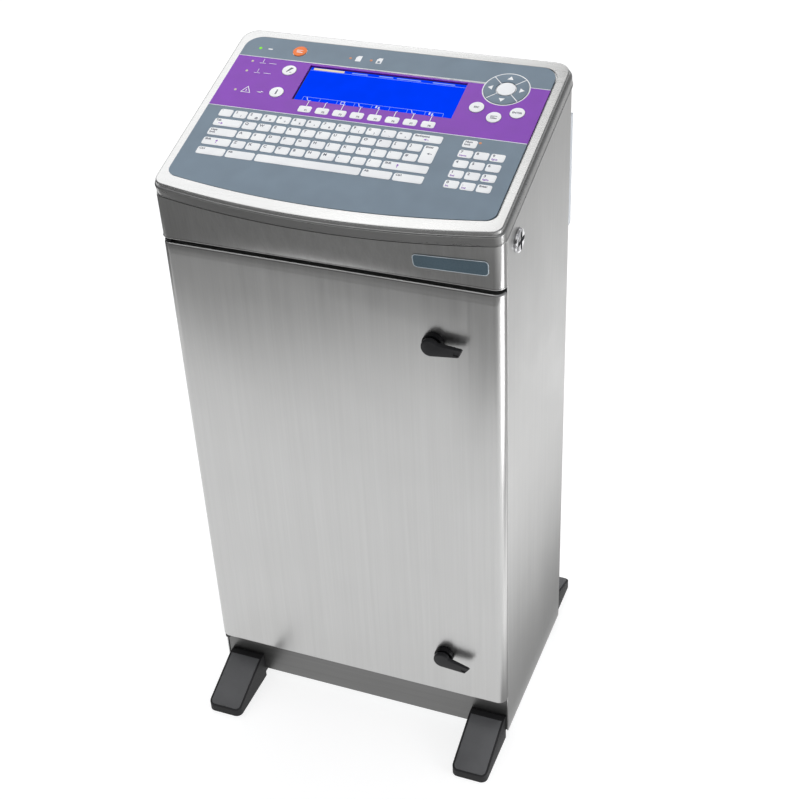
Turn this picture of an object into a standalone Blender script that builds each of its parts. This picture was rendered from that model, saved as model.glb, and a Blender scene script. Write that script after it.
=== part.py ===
"""Floor-standing date code inkjet printer: a narrow sheet-steel cabinet on four wedge feet, with a
hinged front door, ink circuit and electronics inside, and a sloping keyboard console on top.

Metres, +Z up, the front faces -Y, +X is the viewer's right. The origin is on the floor, under the
middle of the cabinet. "Depth" below is measured back from the cabinet's front edge, "height" up
from its base plate, and on the console "up" is measured up the slope and "out" square to it."""

import math

import bmesh
import bpy
from mathutils import Matrix, Vector

# Cabinet shell
CABINET_WIDTH = 0.340
CABINET_DEPTH = 0.1933
FLOOR_GAP = 0.0122
SHEET = 0.0015
GAP = 0.0003
SIDE_X = CABINET_WIDTH / 2
INNER_X = SIDE_X - SHEET - GAP
FRONT_Y = -CABINET_DEPTH / 2
REAR_Y = CABINET_DEPTH / 2
BASE_PLATE_THICKNESS = 0.002
FACE_PLATE_DEPTH = 0.0011
PLINTH_HEIGHT = 0.0485
FRAME_TOP = 0.600
DOORWAY_X = 0.140
DOORWAY_LOW = 0.075
DOORWAY_HIGH = 0.545
DOORWAY_FLANGE = 0.0129
SHELF_HEIGHT = 0.330

# Feet, with heights above the floor
FOOT_X = {
    "foot_front_left": (-0.1640, -0.1245),
    "foot_front_right": (0.1275, 0.1670),
    "foot_rear_left": (-0.1640, -0.1245),
    "foot_rear_right": (0.1245, 0.1640),
}
FOOT_LENGTH = 0.069
FOOT_TOE_HEIGHT = 0.0085
FOOT_WALL_HEIGHT = 0.0332
FOOT_RIDGE = 0.007
FOOT_HEEL = 0.018

# Console: a plane that rises towards the back
CONSOLE_TILT = math.radians(16.4)
CONSOLE_FRONT_HEIGHT = 0.6301
TRAY_X = 0.1672
TRAY_FRONT = -0.0298
TRAY_REAR = 0.2098
TRAY_THICKNESS = 0.0034
SKIRT_X = 0.1697
SKIRT_FRONT = -0.0312
SKIRT_REAR = 0.2110
SKIRT_OUT = -0.0162
SIDE_TOP_OUT = -0.01785
BOW = 0.55
FRONT_RADIUS = 0.0105
REAR_RADIUS = 0.0160
SKIRT_LIP = 0.010
HINGE_NOTCH_UP = 0.1980
MODULE_WINDOW = (0.150, 0.008, 0.192)
OVERLAY_X = 0.1585
OVERLAY_FRONT = -0.0155
OVERLAY_REAR = 0.1996
OVERLAY_OUT = (-0.0014, 0.0001)
POCKET_OUT = -0.0017
LCD_X = 0.080
LCD_UP = (0.1165, 0.1663)
LCD_OUT = -0.0004
MODULE = (0.084, 0.110, 0.172)
MODULE_OUT = (-0.0090, -0.0019)
BOARD = (0.148, 0.010, 0.190)
BOARD_OUT = (-0.0115, -0.0099)

# Front fascia between the console and the door
FASCIA_BOTTOM = 0.5652
FASCIA_TOP_OUT = -0.0165
DOOR_FACE = 0.0106
BADGE_X = (0.0879, 0.1569)
BADGE_HEIGHTS = (0.5800, 0.5950)
BADGE_THICKNESS = 0.0008
BADGE_GAP = 0.0006

# Door
DOOR_HEIGHTS = (0.0495, 0.5610)
DOOR_X = 0.1697
DOOR_LEFT_X = -0.1689
DOOR_RIGHT_RADIUS = 0.0097
DOOR_LEFT_RADIUS = 0.0085
PIVOT_X = -0.1630
PIVOT_DEPTH = -0.0064
PIVOT_RADIUS = 0.0018
BUSH_RADIUS = 0.0034
BUSH_LENGTH = 0.0028
PIN_REACH = 0.008
PIVOT_TAB = (0.0008, 0.0026)

# Latches: a rosette on the door, a lever in front of it and a cam behind
LATCH_X = 0.103
LATCH_HEIGHTS = {"upper": 0.5015, "lower": 0.1065}
LEVER_TURNS = {"upper": 0, "lower": -11}
ROSETTE_RADIUS = 0.0104
ROSETTE_OUT = 0.0055
BARREL_RADIUS = 0.0090
LATCH_NUT_RADIUS = 0.0130
LEVER_OUT = (0.0072, 0.0120)
LEVER_HUB_RADIUS = 0.0090
LEVER_TIP = ((0.0275, -0.0058), (0.0315, 0.0042))
SPINDLE_RADIUS = 0.0040
CAM_DEPTHS = (0.0030, 0.0050)

# Console hinge at the back
HINGE_DEPTH = 0.1970
HINGE_HEIGHT = 0.6640
HINGE_RADIUS = 0.0032
HINGE_PIN_RADIUS = 0.0015
LEAF_X = 0.060
LEAF_HEIGHT = 0.024
BRACKET_X = 0.085
BRACKET_UP = (0.2074, 0.2089)
BRACKET_OUT = (-0.0255, -0.0050)
BRACKET_ARM_UP = (0.1990, 0.2082)
BRACKET_ARM_OUT = (-0.0253, -0.0233)

# Keys that travel, as (across, up the slope)
KEY_RADIUS = 0.0070
KEY_OUT = (-0.0013, 0.0007)
ROUND_KEYS = {
    "power_key": (-0.0987, 0.1840),
    "print_key": (-0.0983, 0.1552),
    "info_key": (-0.0984, 0.1228),
    "escape_key": (0.0984, 0.1352),
    "edit_key": (0.1181, 0.1246),
    "enter_key": (0.1377, 0.1338),
}
PAD_CENTRE = (0.1178, 0.1639)
PAD_RADIUS = 0.0212
PAD_HUB_RADIUS = 0.0090
PAD_GROOVE = 0.0009
PAD_KEYS = {"pad_right_key": 0, "pad_up_key": 90, "pad_left_key": 180, "pad_down_key": 270}

# Turned and round pieces
LOCK_DEPTH = 0.0290
LOCK_HEIGHT = 0.5960
LOCK_RADIUS = 0.0113
LOCK_OUT = 0.003
LOCK_SHAFT_RADIUS = 0.0060
LOCK_TONGUE_X = (0.158, 0.160)
FAN_X = 0.100
FAN_HEIGHT = 0.5850
FAN_RADIUS = 0.0370
FAN_BLADES = 7
FAN_HALF = 0.040
FAN_THICKNESS = 0.025
FAN_HUB_RADIUS = 0.014
GLANDS = {
    "umbilical_gland": (-0.100, 0.430, 0.0160, 0.034),
    "power_gland": (0.110, 0.060, 0.0080, 0.022),
    "signal_gland": (0.070, 0.060, 0.0065, 0.020),
}
COVER_X = 0.166
COVER_HEIGHTS = (0.515, 0.634)
COVER_REACH = 0.022
COVER_WALL = 0.002
LOUVRES = 6
LOUVRE_X = (0.045, 0.155)
LOUVRE_HEIGHTS = (0.550, 0.555)
LOUVRE_PITCH = 0.012
TANKS = {"ink": -0.085, "makeup": 0.085}
TANK_HALF = (0.060, 0.042)
TANK_DEPTH = 0.098
TANK_HEIGHTS = (0.0023, 0.150)
TANK_NECK_RADIUS = 0.018
TANK_NECK_HEIGHT = 0.016
CAP_RADIUS = 0.022
CAP_CROWN = 0.004

# Ink circuit and electronics
MANIFOLD_X = (-0.130, 0.060)
MANIFOLD_HEIGHTS = (0.190, 0.290)
MANIFOLD_THICKNESS = 0.034
PORTS_X = (-0.015, 0.015, 0.045)
PORT_HEIGHT = 0.275
PUMP_X = 0.098
PUMP_RADIUS = 0.026
PUMP_HEIGHTS = (0.200, 0.285)
PUMP_HEAD_HEIGHTS = (0.180, 0.205)
FILTER_X = -0.100
FILTER_RADIUS = 0.020
FILTER_HEIGHTS = (0.205, 0.280, 0.288)
VESSEL_X = -0.050
VESSEL_RADIUS = 0.023
VESSEL_HEIGHTS = (0.200, 0.262, 0.285)
SUPPLY_X = (-0.150, -0.030)
SUPPLY_DEPTHS = (0.060, 0.160)
SUPPLY_HEIGHT = 0.070
SUPPLY_VENTS = 5
MAIN_BOARD_X = (-0.150, 0.040)
MAIN_BOARD_DEPTHS = (0.1760, 0.1776)
MAIN_BOARD_HEIGHTS = (0.470, 0.620)
CHIP_FRONT = 0.1720
CHIPS = (
    ((-0.130, -0.090), (0.570, 0.600)),
    ((-0.070, -0.030), (0.540, 0.580)),
    ((-0.010, 0.030), (0.580, 0.612)),
    ((-0.140, -0.050), (0.480, 0.492)),
)

UPRIGHT = Matrix.Rotation(math.pi / 2, 4, "X")
SIDEWAYS = Matrix(((0, 0, 1, 0), (1, 0, 0, 0), (0, 1, 0, 0), (0, 0, 0, 1)))
CONSOLE = Matrix.Translation((0, FRONT_Y, FLOOR_GAP + CONSOLE_FRONT_HEIGHT)) @ Matrix.Rotation(
    CONSOLE_TILT, 4, "X"
)

# name: (colour, roughness, metallic)
FINISHES = {
    "brushed_steel": ((0.55, 0.55, 0.54), 0.35, 1.0),
    "dark_steel": ((0.30, 0.30, 0.30), 0.40, 1.0),
    "satin_steel": ((0.75, 0.75, 0.74), 0.35, 1.0),
    "zinc_sheet": ((0.60, 0.62, 0.63), 0.50, 1.0),
    "chrome": ((0.80, 0.80, 0.82), 0.12, 1.0),
    "black_plastic": ((0.03, 0.03, 0.03), 0.45, 0.0),
    "black_rubber": ((0.02, 0.02, 0.02), 0.80, 0.0),
    "membrane_grey": ((0.20, 0.26, 0.31), 0.45, 0.0),
    "key_white": ((0.85, 0.86, 0.88), 0.40, 0.0),
    "key_orange": ((0.95, 0.25, 0.02), 0.40, 0.0),
    "window_blue": ((0.00, 0.06, 0.80), 0.15, 0.0),
    "circuit_green": ((0.02, 0.20, 0.08), 0.50, 0.0),
    "tank_white": ((0.80, 0.81, 0.78), 0.50, 0.0),
    "cover_grey": ((0.72, 0.76, 0.80), 0.50, 0.0),
}


# ---------------------------------------------------------------- scene and materials


def clear_scene():
    for obj in list(bpy.data.objects):
        bpy.data.objects.remove(obj, do_unlink=True)


def new_collection(name):
    collection = bpy.data.collections.new(name)
    bpy.context.scene.collection.children.link(collection)
    return collection


def finish(name):
    """The Principled material of that name, made once."""
    found = bpy.data.materials.get(name)
    if found:
        return found
    colour, roughness, metallic = FINISHES[name]
    made = bpy.data.materials.new(name)
    made.use_nodes = True
    shader = made.node_tree.nodes["Principled BSDF"]
    shader.inputs["Base Color"].default_value = (*colour, 1.0)
    shader.inputs["Roughness"].default_value = roughness
    shader.inputs["Metallic"].default_value = metallic
    return made


# ---------------------------------------------------------------- outlines


def arc(centre, radius, start, end, steps):
    """Points on an arc, with its angles in degrees."""
    angles = [math.radians(start + (end - start) * i / steps) for i in range(steps + 1)]
    return [(centre[0] + radius * math.cos(a), centre[1] + radius * math.sin(a)) for a in angles]


def circle(centre, radius, steps=20):
    return arc(centre, radius, 0, 360, steps)[:-1]


def rectangle(low_x, high_x, low_y, high_y):
    return [(low_x, low_y), (high_x, low_y), (high_x, high_y), (low_x, high_y)]


def bowed_front(half_width, front, radius, bow, steps=10):
    """An edge from left to right that bows forward in the middle and turns back at each corner."""
    turn = 0.0
    for _ in range(3):
        turn = math.atan(2 * bow * (half_width - radius + radius * math.sin(turn)))
    join = half_width - radius + radius * math.sin(turn)
    corner_y = front + bow * join**2 + radius * math.cos(turn)
    middle = [join * (2 * i / steps - 1) for i in range(1, steps)]
    left = arc((radius - half_width, corner_y), radius, 180, 270 - math.degrees(turn), 4)
    right = [(-x, y) for x, y in reversed(left)]
    return left + [(x, front + bow * x**2) for x in middle] + right


def console_outline(half_width, front, rear, front_radius, rear_radius):
    """A closed outline in the console's plane: bowed front, straight sides, rounded back corners."""
    corner_x = half_width - rear_radius
    corner_y = rear - rear_radius
    right = arc((corner_x, corner_y), rear_radius, 0, 90, 5)
    left = arc((-corner_x, corner_y), rear_radius, 90, 180, 5)
    return bowed_front(half_width, front, front_radius, BOW) + right + left


# ---------------------------------------------------------------- solids


def add(name, mesh, material=None):
    obj = bpy.data.objects.new(name, mesh)
    if material:
        mesh.materials.append(finish(material))
        PARTS.objects.link(obj)
    else:
        obj.hide_render = True
        obj.display_type = "WIRE"
        CUTTERS.objects.link(obj)
    return obj


def slab(name, outlines, low, high, place, material=None):
    """A flat plate between low and high along local Z. Outlines inside the first one are holes."""
    curve = bpy.data.curves.new(name, "CURVE")
    curve.dimensions = "2D"
    curve.fill_mode = "BOTH"
    curve.extrude = (high - low) / 2
    for outline in outlines:
        spline = curve.splines.new("POLY")
        spline.points.add(len(outline) - 1)
        for point, (x, y) in zip(spline.points, outline):
            point.co = (x, y, 0, 1)
        spline.use_cyclic_u = True
    guide = bpy.data.objects.new(name + "_guide", curve)
    guide.matrix_world = place @ Matrix.Translation((0, 0, (low + high) / 2))
    CUTTERS.objects.link(guide)
    graph = bpy.context.evaluated_depsgraph_get()
    mesh = bpy.data.meshes.new_from_object(guide.evaluated_get(graph))
    mesh.transform(guide.matrix_world)
    bpy.data.objects.remove(guide)
    body = bmesh.new()
    body.from_mesh(mesh)
    bmesh.ops.remove_doubles(body, verts=body.verts, dist=1e-6)
    bmesh.ops.recalc_face_normals(body, faces=body.faces)
    body.to_mesh(mesh)
    body.free()
    return add(name, mesh, material)


def level_slab(name, outlines, low, high, material=None):
    """Outlines in (x, depth), between two heights."""
    place = Matrix.Translation((0, FRONT_Y, FLOOR_GAP))
    return slab(name, outlines, low, high, place, material)


def upright_slab(name, outlines, front, back, material=None):
    """Outlines in (x, height), between two depths."""
    place = Matrix.Translation((0, FRONT_Y, FLOOR_GAP)) @ UPRIGHT
    return slab(name, outlines, -back, -front, place, material)


def side_slab(name, outlines, low_x, high_x, material=None):
    """Outlines in (depth, height), between two places across."""
    place = Matrix.Translation((0, FRONT_Y, FLOOR_GAP)) @ SIDEWAYS
    return slab(name, outlines, low_x, high_x, place, material)


def console_slab(name, outlines, low, high, material=None):
    """Outlines in (x, up the slope), between two distances out from the console's face."""
    return slab(name, outlines, low, high, CONSOLE, material)


def block(name, xs, depths, heights, material=None):
    """A box between two places across, two depths and two heights."""
    body = bmesh.new()
    bmesh.ops.create_cube(body, size=1)
    size = (xs[1] - xs[0], depths[1] - depths[0], heights[1] - heights[0])
    centre = (sum(xs) / 2, FRONT_Y + sum(depths) / 2, FLOOR_GAP + sum(heights) / 2)
    bmesh.ops.scale(body, verts=body.verts, vec=size)
    bmesh.ops.translate(body, verts=body.verts, vec=centre)
    mesh = bpy.data.meshes.new(name)
    body.to_mesh(mesh)
    body.free()
    return add(name, mesh, material)


def rod(name, start, end, radius, material=None, sides=20, end_radius=None):
    """A round bar or cone between two (x, depth, height) points."""
    start = Vector((start[0], FRONT_Y + start[1], FLOOR_GAP + start[2]))
    end = Vector((end[0], FRONT_Y + end[1], FLOOR_GAP + end[2]))
    turn = Vector((0, 0, 1)).rotation_difference(end - start).to_matrix().to_4x4()
    body = bmesh.new()
    bmesh.ops.create_cone(
        body,
        cap_ends=True,
        segments=sides,
        radius1=radius,
        radius2=radius if end_radius is None else end_radius,
        depth=(end - start).length,
        matrix=Matrix.Translation((start + end) / 2) @ turn,
    )
    mesh = bpy.data.meshes.new(name)
    body.to_mesh(mesh)
    body.free()
    return add(name, mesh, material)


def combine(target, others, operation):
    for other in others:
        modifier = target.modifiers.new(operation.lower(), "BOOLEAN")
        modifier.operation = operation
        modifier.solver = "EXACT"
        modifier.object = other
    return target


def unite(target, others):
    return combine(target, others, "UNION")


def cut(target, others):
    return combine(target, others, "DIFFERENCE")


def round_edges(obj, width, segments=2):
    bevel = obj.modifiers.new("bevel", "BEVEL")
    bevel.width = width
    bevel.segments = segments
    bevel.limit_method = "ANGLE"
    return obj


def on_axis(name, place, pieces):
    """Hangs pieces on an empty that stands on their joint's axis, at (x, depth, height)."""
    empty = bpy.data.objects.new(name, None)
    empty.location = (place[0], FRONT_Y + place[1], FLOOR_GAP + place[2])
    PARTS.objects.link(empty)
    bpy.context.view_layer.update()
    for piece in pieces:
        piece.parent = empty
        piece.matrix_parent_inverse = empty.matrix_world.inverted()
    return empty


def slope_height(depth, out):
    """The height over a depth of a line that runs along the console's slope, out from its face."""
    return CONSOLE_FRONT_HEIGHT + depth * math.tan(CONSOLE_TILT) + out / math.cos(CONSOLE_TILT)


# ---------------------------------------------------------------- cabinet shell


def side_panels():
    outline = [
        (0, 0),
        (CABINET_DEPTH, 0),
        (CABINET_DEPTH, slope_height(CABINET_DEPTH, SIDE_TOP_OUT)),
        (0, slope_height(0, SIDE_TOP_OUT)),
    ]
    hole = circle((LOCK_DEPTH, LOCK_HEIGHT), LOCK_SHAFT_RADIUS + GAP, 16)
    side_slab("side_panel_right", [outline, hole], SIDE_X - SHEET, SIDE_X, "brushed_steel")
    side_slab("side_panel_left", [outline, hole], -SIDE_X, SHEET - SIDE_X, "brushed_steel")


def rear_panel():
    top = slope_height(CABINET_DEPTH, SIDE_TOP_OUT)
    outlines = [rectangle(-INNER_X, INNER_X, 0, top)]
    outlines.append(circle((FAN_X, FAN_HEIGHT), FAN_RADIUS - 0.001, 24))
    for x, height, radius, _ in GLANDS.values():
        outlines.append(circle((x, height), radius * 0.75 + GAP, 16))
    upright_slab(
        "rear_panel", outlines, CABINET_DEPTH - SHEET, CABINET_DEPTH, "brushed_steel"
    )


def base_and_plinth():
    back = CABINET_DEPTH - SHEET - GAP
    front = FACE_PLATE_DEPTH + SHEET + GAP
    block("base_plate", (-INNER_X, INNER_X), (front, back), (0, BASE_PLATE_THICKNESS), "zinc_sheet")
    depths = (FACE_PLATE_DEPTH, FACE_PLATE_DEPTH + SHEET)
    block("plinth", (-INNER_X, INNER_X), depths, (0, PLINTH_HEIGHT), "dark_steel")


def door_frame():
    """A face plate round the doorway, with a flange turned back into the cabinet."""
    wider = 0.001
    outer = rectangle(-INNER_X, INNER_X, PLINTH_HEIGHT + GAP, FRAME_TOP)
    opening = rectangle(
        -DOORWAY_X - wider, DOORWAY_X + wider, DOORWAY_LOW - wider, DOORWAY_HIGH + wider
    )
    rim = DOORWAY_X + SHEET + GAP
    low = DOORWAY_LOW - SHEET - GAP
    high = DOORWAY_HIGH + SHEET + GAP
    tube = [
        rectangle(-rim, rim, low, high),
        rectangle(-DOORWAY_X, DOORWAY_X, DOORWAY_LOW, DOORWAY_HIGH),
    ]
    face = FACE_PLATE_DEPTH
    plate = upright_slab("door_frame", [outer, opening], face, face + SHEET, "zinc_sheet")
    flange = upright_slab("door_frame_flange", tube, face + GAP, face + DOORWAY_FLANGE)
    unite(plate, [flange])


def mid_shelf():
    lip = 0.012
    front = FACE_PLATE_DEPTH + DOORWAY_FLANGE + 0.002
    back = CABINET_DEPTH - SHEET - GAP
    width = (0.001 - INNER_X, INNER_X - 0.001)
    shelf = block(
        "mid_shelf", width, (front, back), (SHELF_HEIGHT, SHELF_HEIGHT + SHEET), "zinc_sheet"
    )
    edge = block(
        "mid_shelf_lip",
        (width[0] + SHEET, width[1] - SHEET),
        (front - GAP, front + SHEET),
        (SHELF_HEIGHT - lip, SHELF_HEIGHT + SHEET / 2),
    )
    unite(shelf, [edge])


def fascia_rows(steps=10):
    """The fascia's bowed top edge and straight bottom edge, point for point, in world space."""
    back = -GAP
    top_end = (back + FASCIA_TOP_OUT * math.sin(CONSOLE_TILT)) / math.cos(CONSOLE_TILT)
    top_edge = bowed_front(SKIRT_X, SKIRT_FRONT, DOOR_RIGHT_RADIUS, BOW, steps)
    top_edge = [(-SKIRT_X, top_end)] + top_edge + [(SKIRT_X, top_end)]
    low_edge = bowed_front(SKIRT_X, -DOOR_FACE, DOOR_RIGHT_RADIUS, 0, steps)
    low_edge = [(-SKIRT_X, back)] + low_edge + [(SKIRT_X, back)]
    top = [CONSOLE @ Vector((x, up, FASCIA_TOP_OUT)) for x, up in top_edge]
    low = [Vector((x, FRONT_Y + y, FLOOR_GAP + FASCIA_BOTTOM)) for x, y in low_edge]
    return top, low


def ruled_sheet(name, top, low, thickness, offset, material):
    """A strip between two rows of points, given a thickness. Offset -1 keeps it behind the strip."""
    body = bmesh.new()
    upper = [body.verts.new(point) for point in top]
    lower = [body.verts.new(point) for point in low]
    for i in range(len(top) - 1):
        body.faces.new((lower[i], lower[i + 1], upper[i + 1], upper[i]))
    mesh = bpy.data.meshes.new(name)
    body.to_mesh(mesh)
    body.free()
    sheet = add(name, mesh, material)
    solidify = sheet.modifiers.new("thickness", "SOLIDIFY")
    solidify.thickness = thickness
    solidify.offset = offset
    solidify.use_even_offset = True
    return sheet


def fascia_point(x, height, outward):
    """A point in front of the bowed part of the fascia, at a place across and a height."""
    top = CONSOLE @ Vector((x, SKIRT_FRONT + BOW * x**2, FASCIA_TOP_OUT))
    low = Vector((x, FRONT_Y - DOOR_FACE, FLOOR_GAP + FASCIA_BOTTOM))
    share = (FLOOR_GAP + height - low.z) / (top.z - low.z)
    return low.lerp(top, share) + Vector((0, -outward, 0))


def fascia_and_badge():
    top, low = fascia_rows()
    ruled_sheet("front_fascia", top, low, SHEET, -1, "dark_steel")
    steps = 6
    width = BADGE_X[1] - BADGE_X[0]
    across = [BADGE_X[0] + width * i / steps for i in range(steps + 1)]
    upper = [fascia_point(x, BADGE_HEIGHTS[1], BADGE_GAP) for x in across]
    lower = [fascia_point(x, BADGE_HEIGHTS[0], BADGE_GAP) for x in across]
    ruled_sheet("fascia_badge", upper, lower, BADGE_THICKNESS, 1, "membrane_grey")


def feet():
    """Wedges bolted to the plinth and the rear panel, each with a heel under the base plate."""
    heel_inset = 0.003
    for end, wall in (("front", FACE_PLATE_DEPTH - GAP), ("rear", -GAP)):
        wedge = [
            (-FOOT_LENGTH, 0),
            (wall, 0),
            (wall, FOOT_WALL_HEIGHT),
            (wall - FOOT_RIDGE, FOOT_WALL_HEIGHT),
            (-FOOT_LENGTH, FOOT_TOE_HEIGHT),
        ]
        under = rectangle(-FOOT_LENGTH / 2, FOOT_HEEL, 0, FLOOR_GAP - GAP)
        if end == "rear":
            wedge = [(CABINET_DEPTH - depth, height) for depth, height in reversed(wedge)]
            under = [(CABINET_DEPTH - depth, height) for depth, height in reversed(under)]
        wedge = [(depth, height - FLOOR_GAP) for depth, height in wedge]
        under = [(depth, height - FLOOR_GAP) for depth, height in under]
        for side in ("left", "right"):
            name = f"foot_{end}_{side}"
            low_x, high_x = FOOT_X[name]
            foot = side_slab(name, [wedge], low_x, high_x, "black_rubber")
            round_edges(foot, 0.0025)
            heel_x = (low_x + heel_inset, high_x - heel_inset)
            unite(foot, [side_slab(f"{name}_heel", [under], *heel_x)])


def rear_fittings():
    """The filter cover over the fan opening, and the cable glands."""
    depths = (CABINET_DEPTH + GAP, CABINET_DEPTH + COVER_REACH)
    cover = block("rear_filter_cover", (-COVER_X, COVER_X), depths, COVER_HEIGHTS, "cover_grey")
    hollow = block(
        "filter_hollow",
        (COVER_WALL - COVER_X, COVER_X - COVER_WALL),
        (depths[0] - COVER_WALL, depths[1] - COVER_WALL),
        (COVER_HEIGHTS[0] + COVER_WALL, COVER_HEIGHTS[1] - COVER_WALL),
    )
    through = (depths[1] - 2 * COVER_WALL, depths[1] + COVER_WALL)
    slots = []
    for i in range(LOUVRES):
        heights = [height + LOUVRE_PITCH * i for height in LOUVRE_HEIGHTS]
        slots.append(block(f"filter_slot_{i}", LOUVRE_X, through, heights))
    cut(cover, [hollow, *slots])
    for name, (x, height, radius, reach) in GLANDS.items():
        gland_body(name, x, height, radius, reach)


def gland_body(name, x, height, radius, reach):
    """A hexagonal collar outside the rear panel, a dome nut and a threaded stub with a lock nut."""
    wall = CABINET_DEPTH
    inner_wall = wall - SHEET
    collar_end = wall + reach * 0.4
    lock_nut_end = inner_wall - 0.0055
    stub_end = wall - 0.010

    def turned(suffix, start, end, size, sides, material=None, end_radius=None):
        where = (x, start, height), (x, end, height)
        return rod(name + suffix, *where, size, material, sides, end_radius)

    collar = turned("", wall + GAP, collar_end, radius, 6, "black_plastic")
    nut = turned("_nut", collar_end - 0.001, wall + reach, radius * 0.92, 20, None, radius * 0.62)
    stub = turned("_stub", stub_end, wall + 0.002, radius * 0.75, 16)
    lock_nut = turned("_lock_nut", lock_nut_end, inner_wall - GAP, radius * 0.95, 6)
    bore = turned("_bore", stub_end - 0.002, wall + reach + 0.002, radius * 0.5, 16)
    unite(collar, [nut, stub, lock_nut])
    cut(collar, [bore])


# ---------------------------------------------------------------- inside


def tanks():
    """Two moulded tanks on the base plate, each with a neck and a screw cap."""
    top = TANK_HEIGHTS[1]
    neck_top = top + TANK_NECK_HEIGHT
    depths = (TANK_DEPTH - TANK_HALF[1], TANK_DEPTH + TANK_HALF[1])
    for name, x in TANKS.items():

        def turned(suffix, low, high, radius, material=None, sides=20):
            where = (x, TANK_DEPTH, low), (x, TANK_DEPTH, high)
            return rod(name + suffix, *where, radius, material, sides)

        xs = (x - TANK_HALF[0], x + TANK_HALF[0])
        tank = block(f"{name}_tank", xs, depths, TANK_HEIGHTS, "tank_white")
        round_edges(tank, 0.006)
        unite(tank, [turned("_neck", top - 0.005, neck_top, TANK_NECK_RADIUS)])
        cap = turned("_tank_cap", top + GAP, neck_top + CAP_CROWN, CAP_RADIUS, "black_plastic", 24)
        cut(cap, [turned("_cap_inside", top - 0.001, neck_top + GAP, TANK_NECK_RADIUS + GAP)])
        on_axis(f"{name}_cap_axis", (x, TANK_DEPTH, top), [cap])


def ink_circuit():
    """Manifold on the rear panel, with the pump beside it and filter and accumulator in front."""
    back = CABINET_DEPTH - SHEET - GAP
    front = back - MANIFOLD_THICKNESS
    manifold = block("ink_manifold", MANIFOLD_X, (front, back), MANIFOLD_HEIGHTS, "tank_white")
    ports = []
    for i, x in enumerate(PORTS_X):
        where = (x, front + 0.002, PORT_HEIGHT), (x, front - 0.006, PORT_HEIGHT)
        ports.append(rod(f"manifold_port_{i}", *where, 0.004, sides=12))
    unite(manifold, ports)

    pump_depth = back - 0.030
    low, high = PUMP_HEIGHTS
    motor = rod(
        "ink_pump", (PUMP_X, pump_depth, low), (PUMP_X, pump_depth, high), PUMP_RADIUS, "satin_steel"
    )
    head_half = PUMP_RADIUS + 0.002
    head_depths = (pump_depth - PUMP_RADIUS, pump_depth + PUMP_RADIUS)
    head_x = (PUMP_X - head_half, PUMP_X + head_half)
    unite(motor, [block("ink_pump_head", head_x, head_depths, PUMP_HEAD_HEIGHTS)])

    place = (FILTER_X, front - GAP - FILTER_RADIUS - 0.001)
    low, high, top = FILTER_HEIGHTS
    bowl = rod("ink_filter", (*place, low), (*place, high), FILTER_RADIUS, "tank_white")
    hexagon = FILTER_RADIUS + 0.0008
    unite(bowl, [rod("ink_filter_top", (*place, high - 0.005), (*place, top), hexagon, sides=6)])

    place = (VESSEL_X, front - GAP - VESSEL_RADIUS - 0.001)
    low, high, top = VESSEL_HEIGHTS
    vessel = rod(
        "pressure_accumulator", (*place, low), (*place, high), VESSEL_RADIUS, "zinc_sheet"
    )
    dome = rod(
        "accumulator_dome", (*place, high - 0.001), (*place, top), VESSEL_RADIUS, end_radius=0.008
    )
    unite(vessel, [dome])


def electronics():
    """Power supply on the shelf and the main board upright at the back."""
    floor = SHELF_HEIGHT + SHEET + GAP
    top = floor + SUPPLY_HEIGHT
    vent_inset = 0.010
    vent_pitch = 0.016
    supply = block("power_supply", SUPPLY_X, SUPPLY_DEPTHS, (floor, top), "zinc_sheet")
    vents = []
    for i in range(SUPPLY_VENTS):
        start = SUPPLY_DEPTHS[0] + vent_inset + vent_pitch * i
        xs = (SUPPLY_X[0] + vent_inset, SUPPLY_X[1] - vent_inset)
        depths = (start, start + vent_pitch / 2)
        vents.append(block(f"supply_vent_{i}", xs, depths, (top - 0.003, top + 0.010)))
    cut(supply, vents)
    board = block(
        "main_board", MAIN_BOARD_X, MAIN_BOARD_DEPTHS, MAIN_BOARD_HEIGHTS, "circuit_green"
    )
    chip_depths = (CHIP_FRONT, MAIN_BOARD_DEPTHS[0] + 0.0005)
    chips = [
        block(f"board_chip_{i}", xs, chip_depths, heights) for i, (xs, heights) in enumerate(CHIPS)
    ]
    unite(board, chips)


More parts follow.
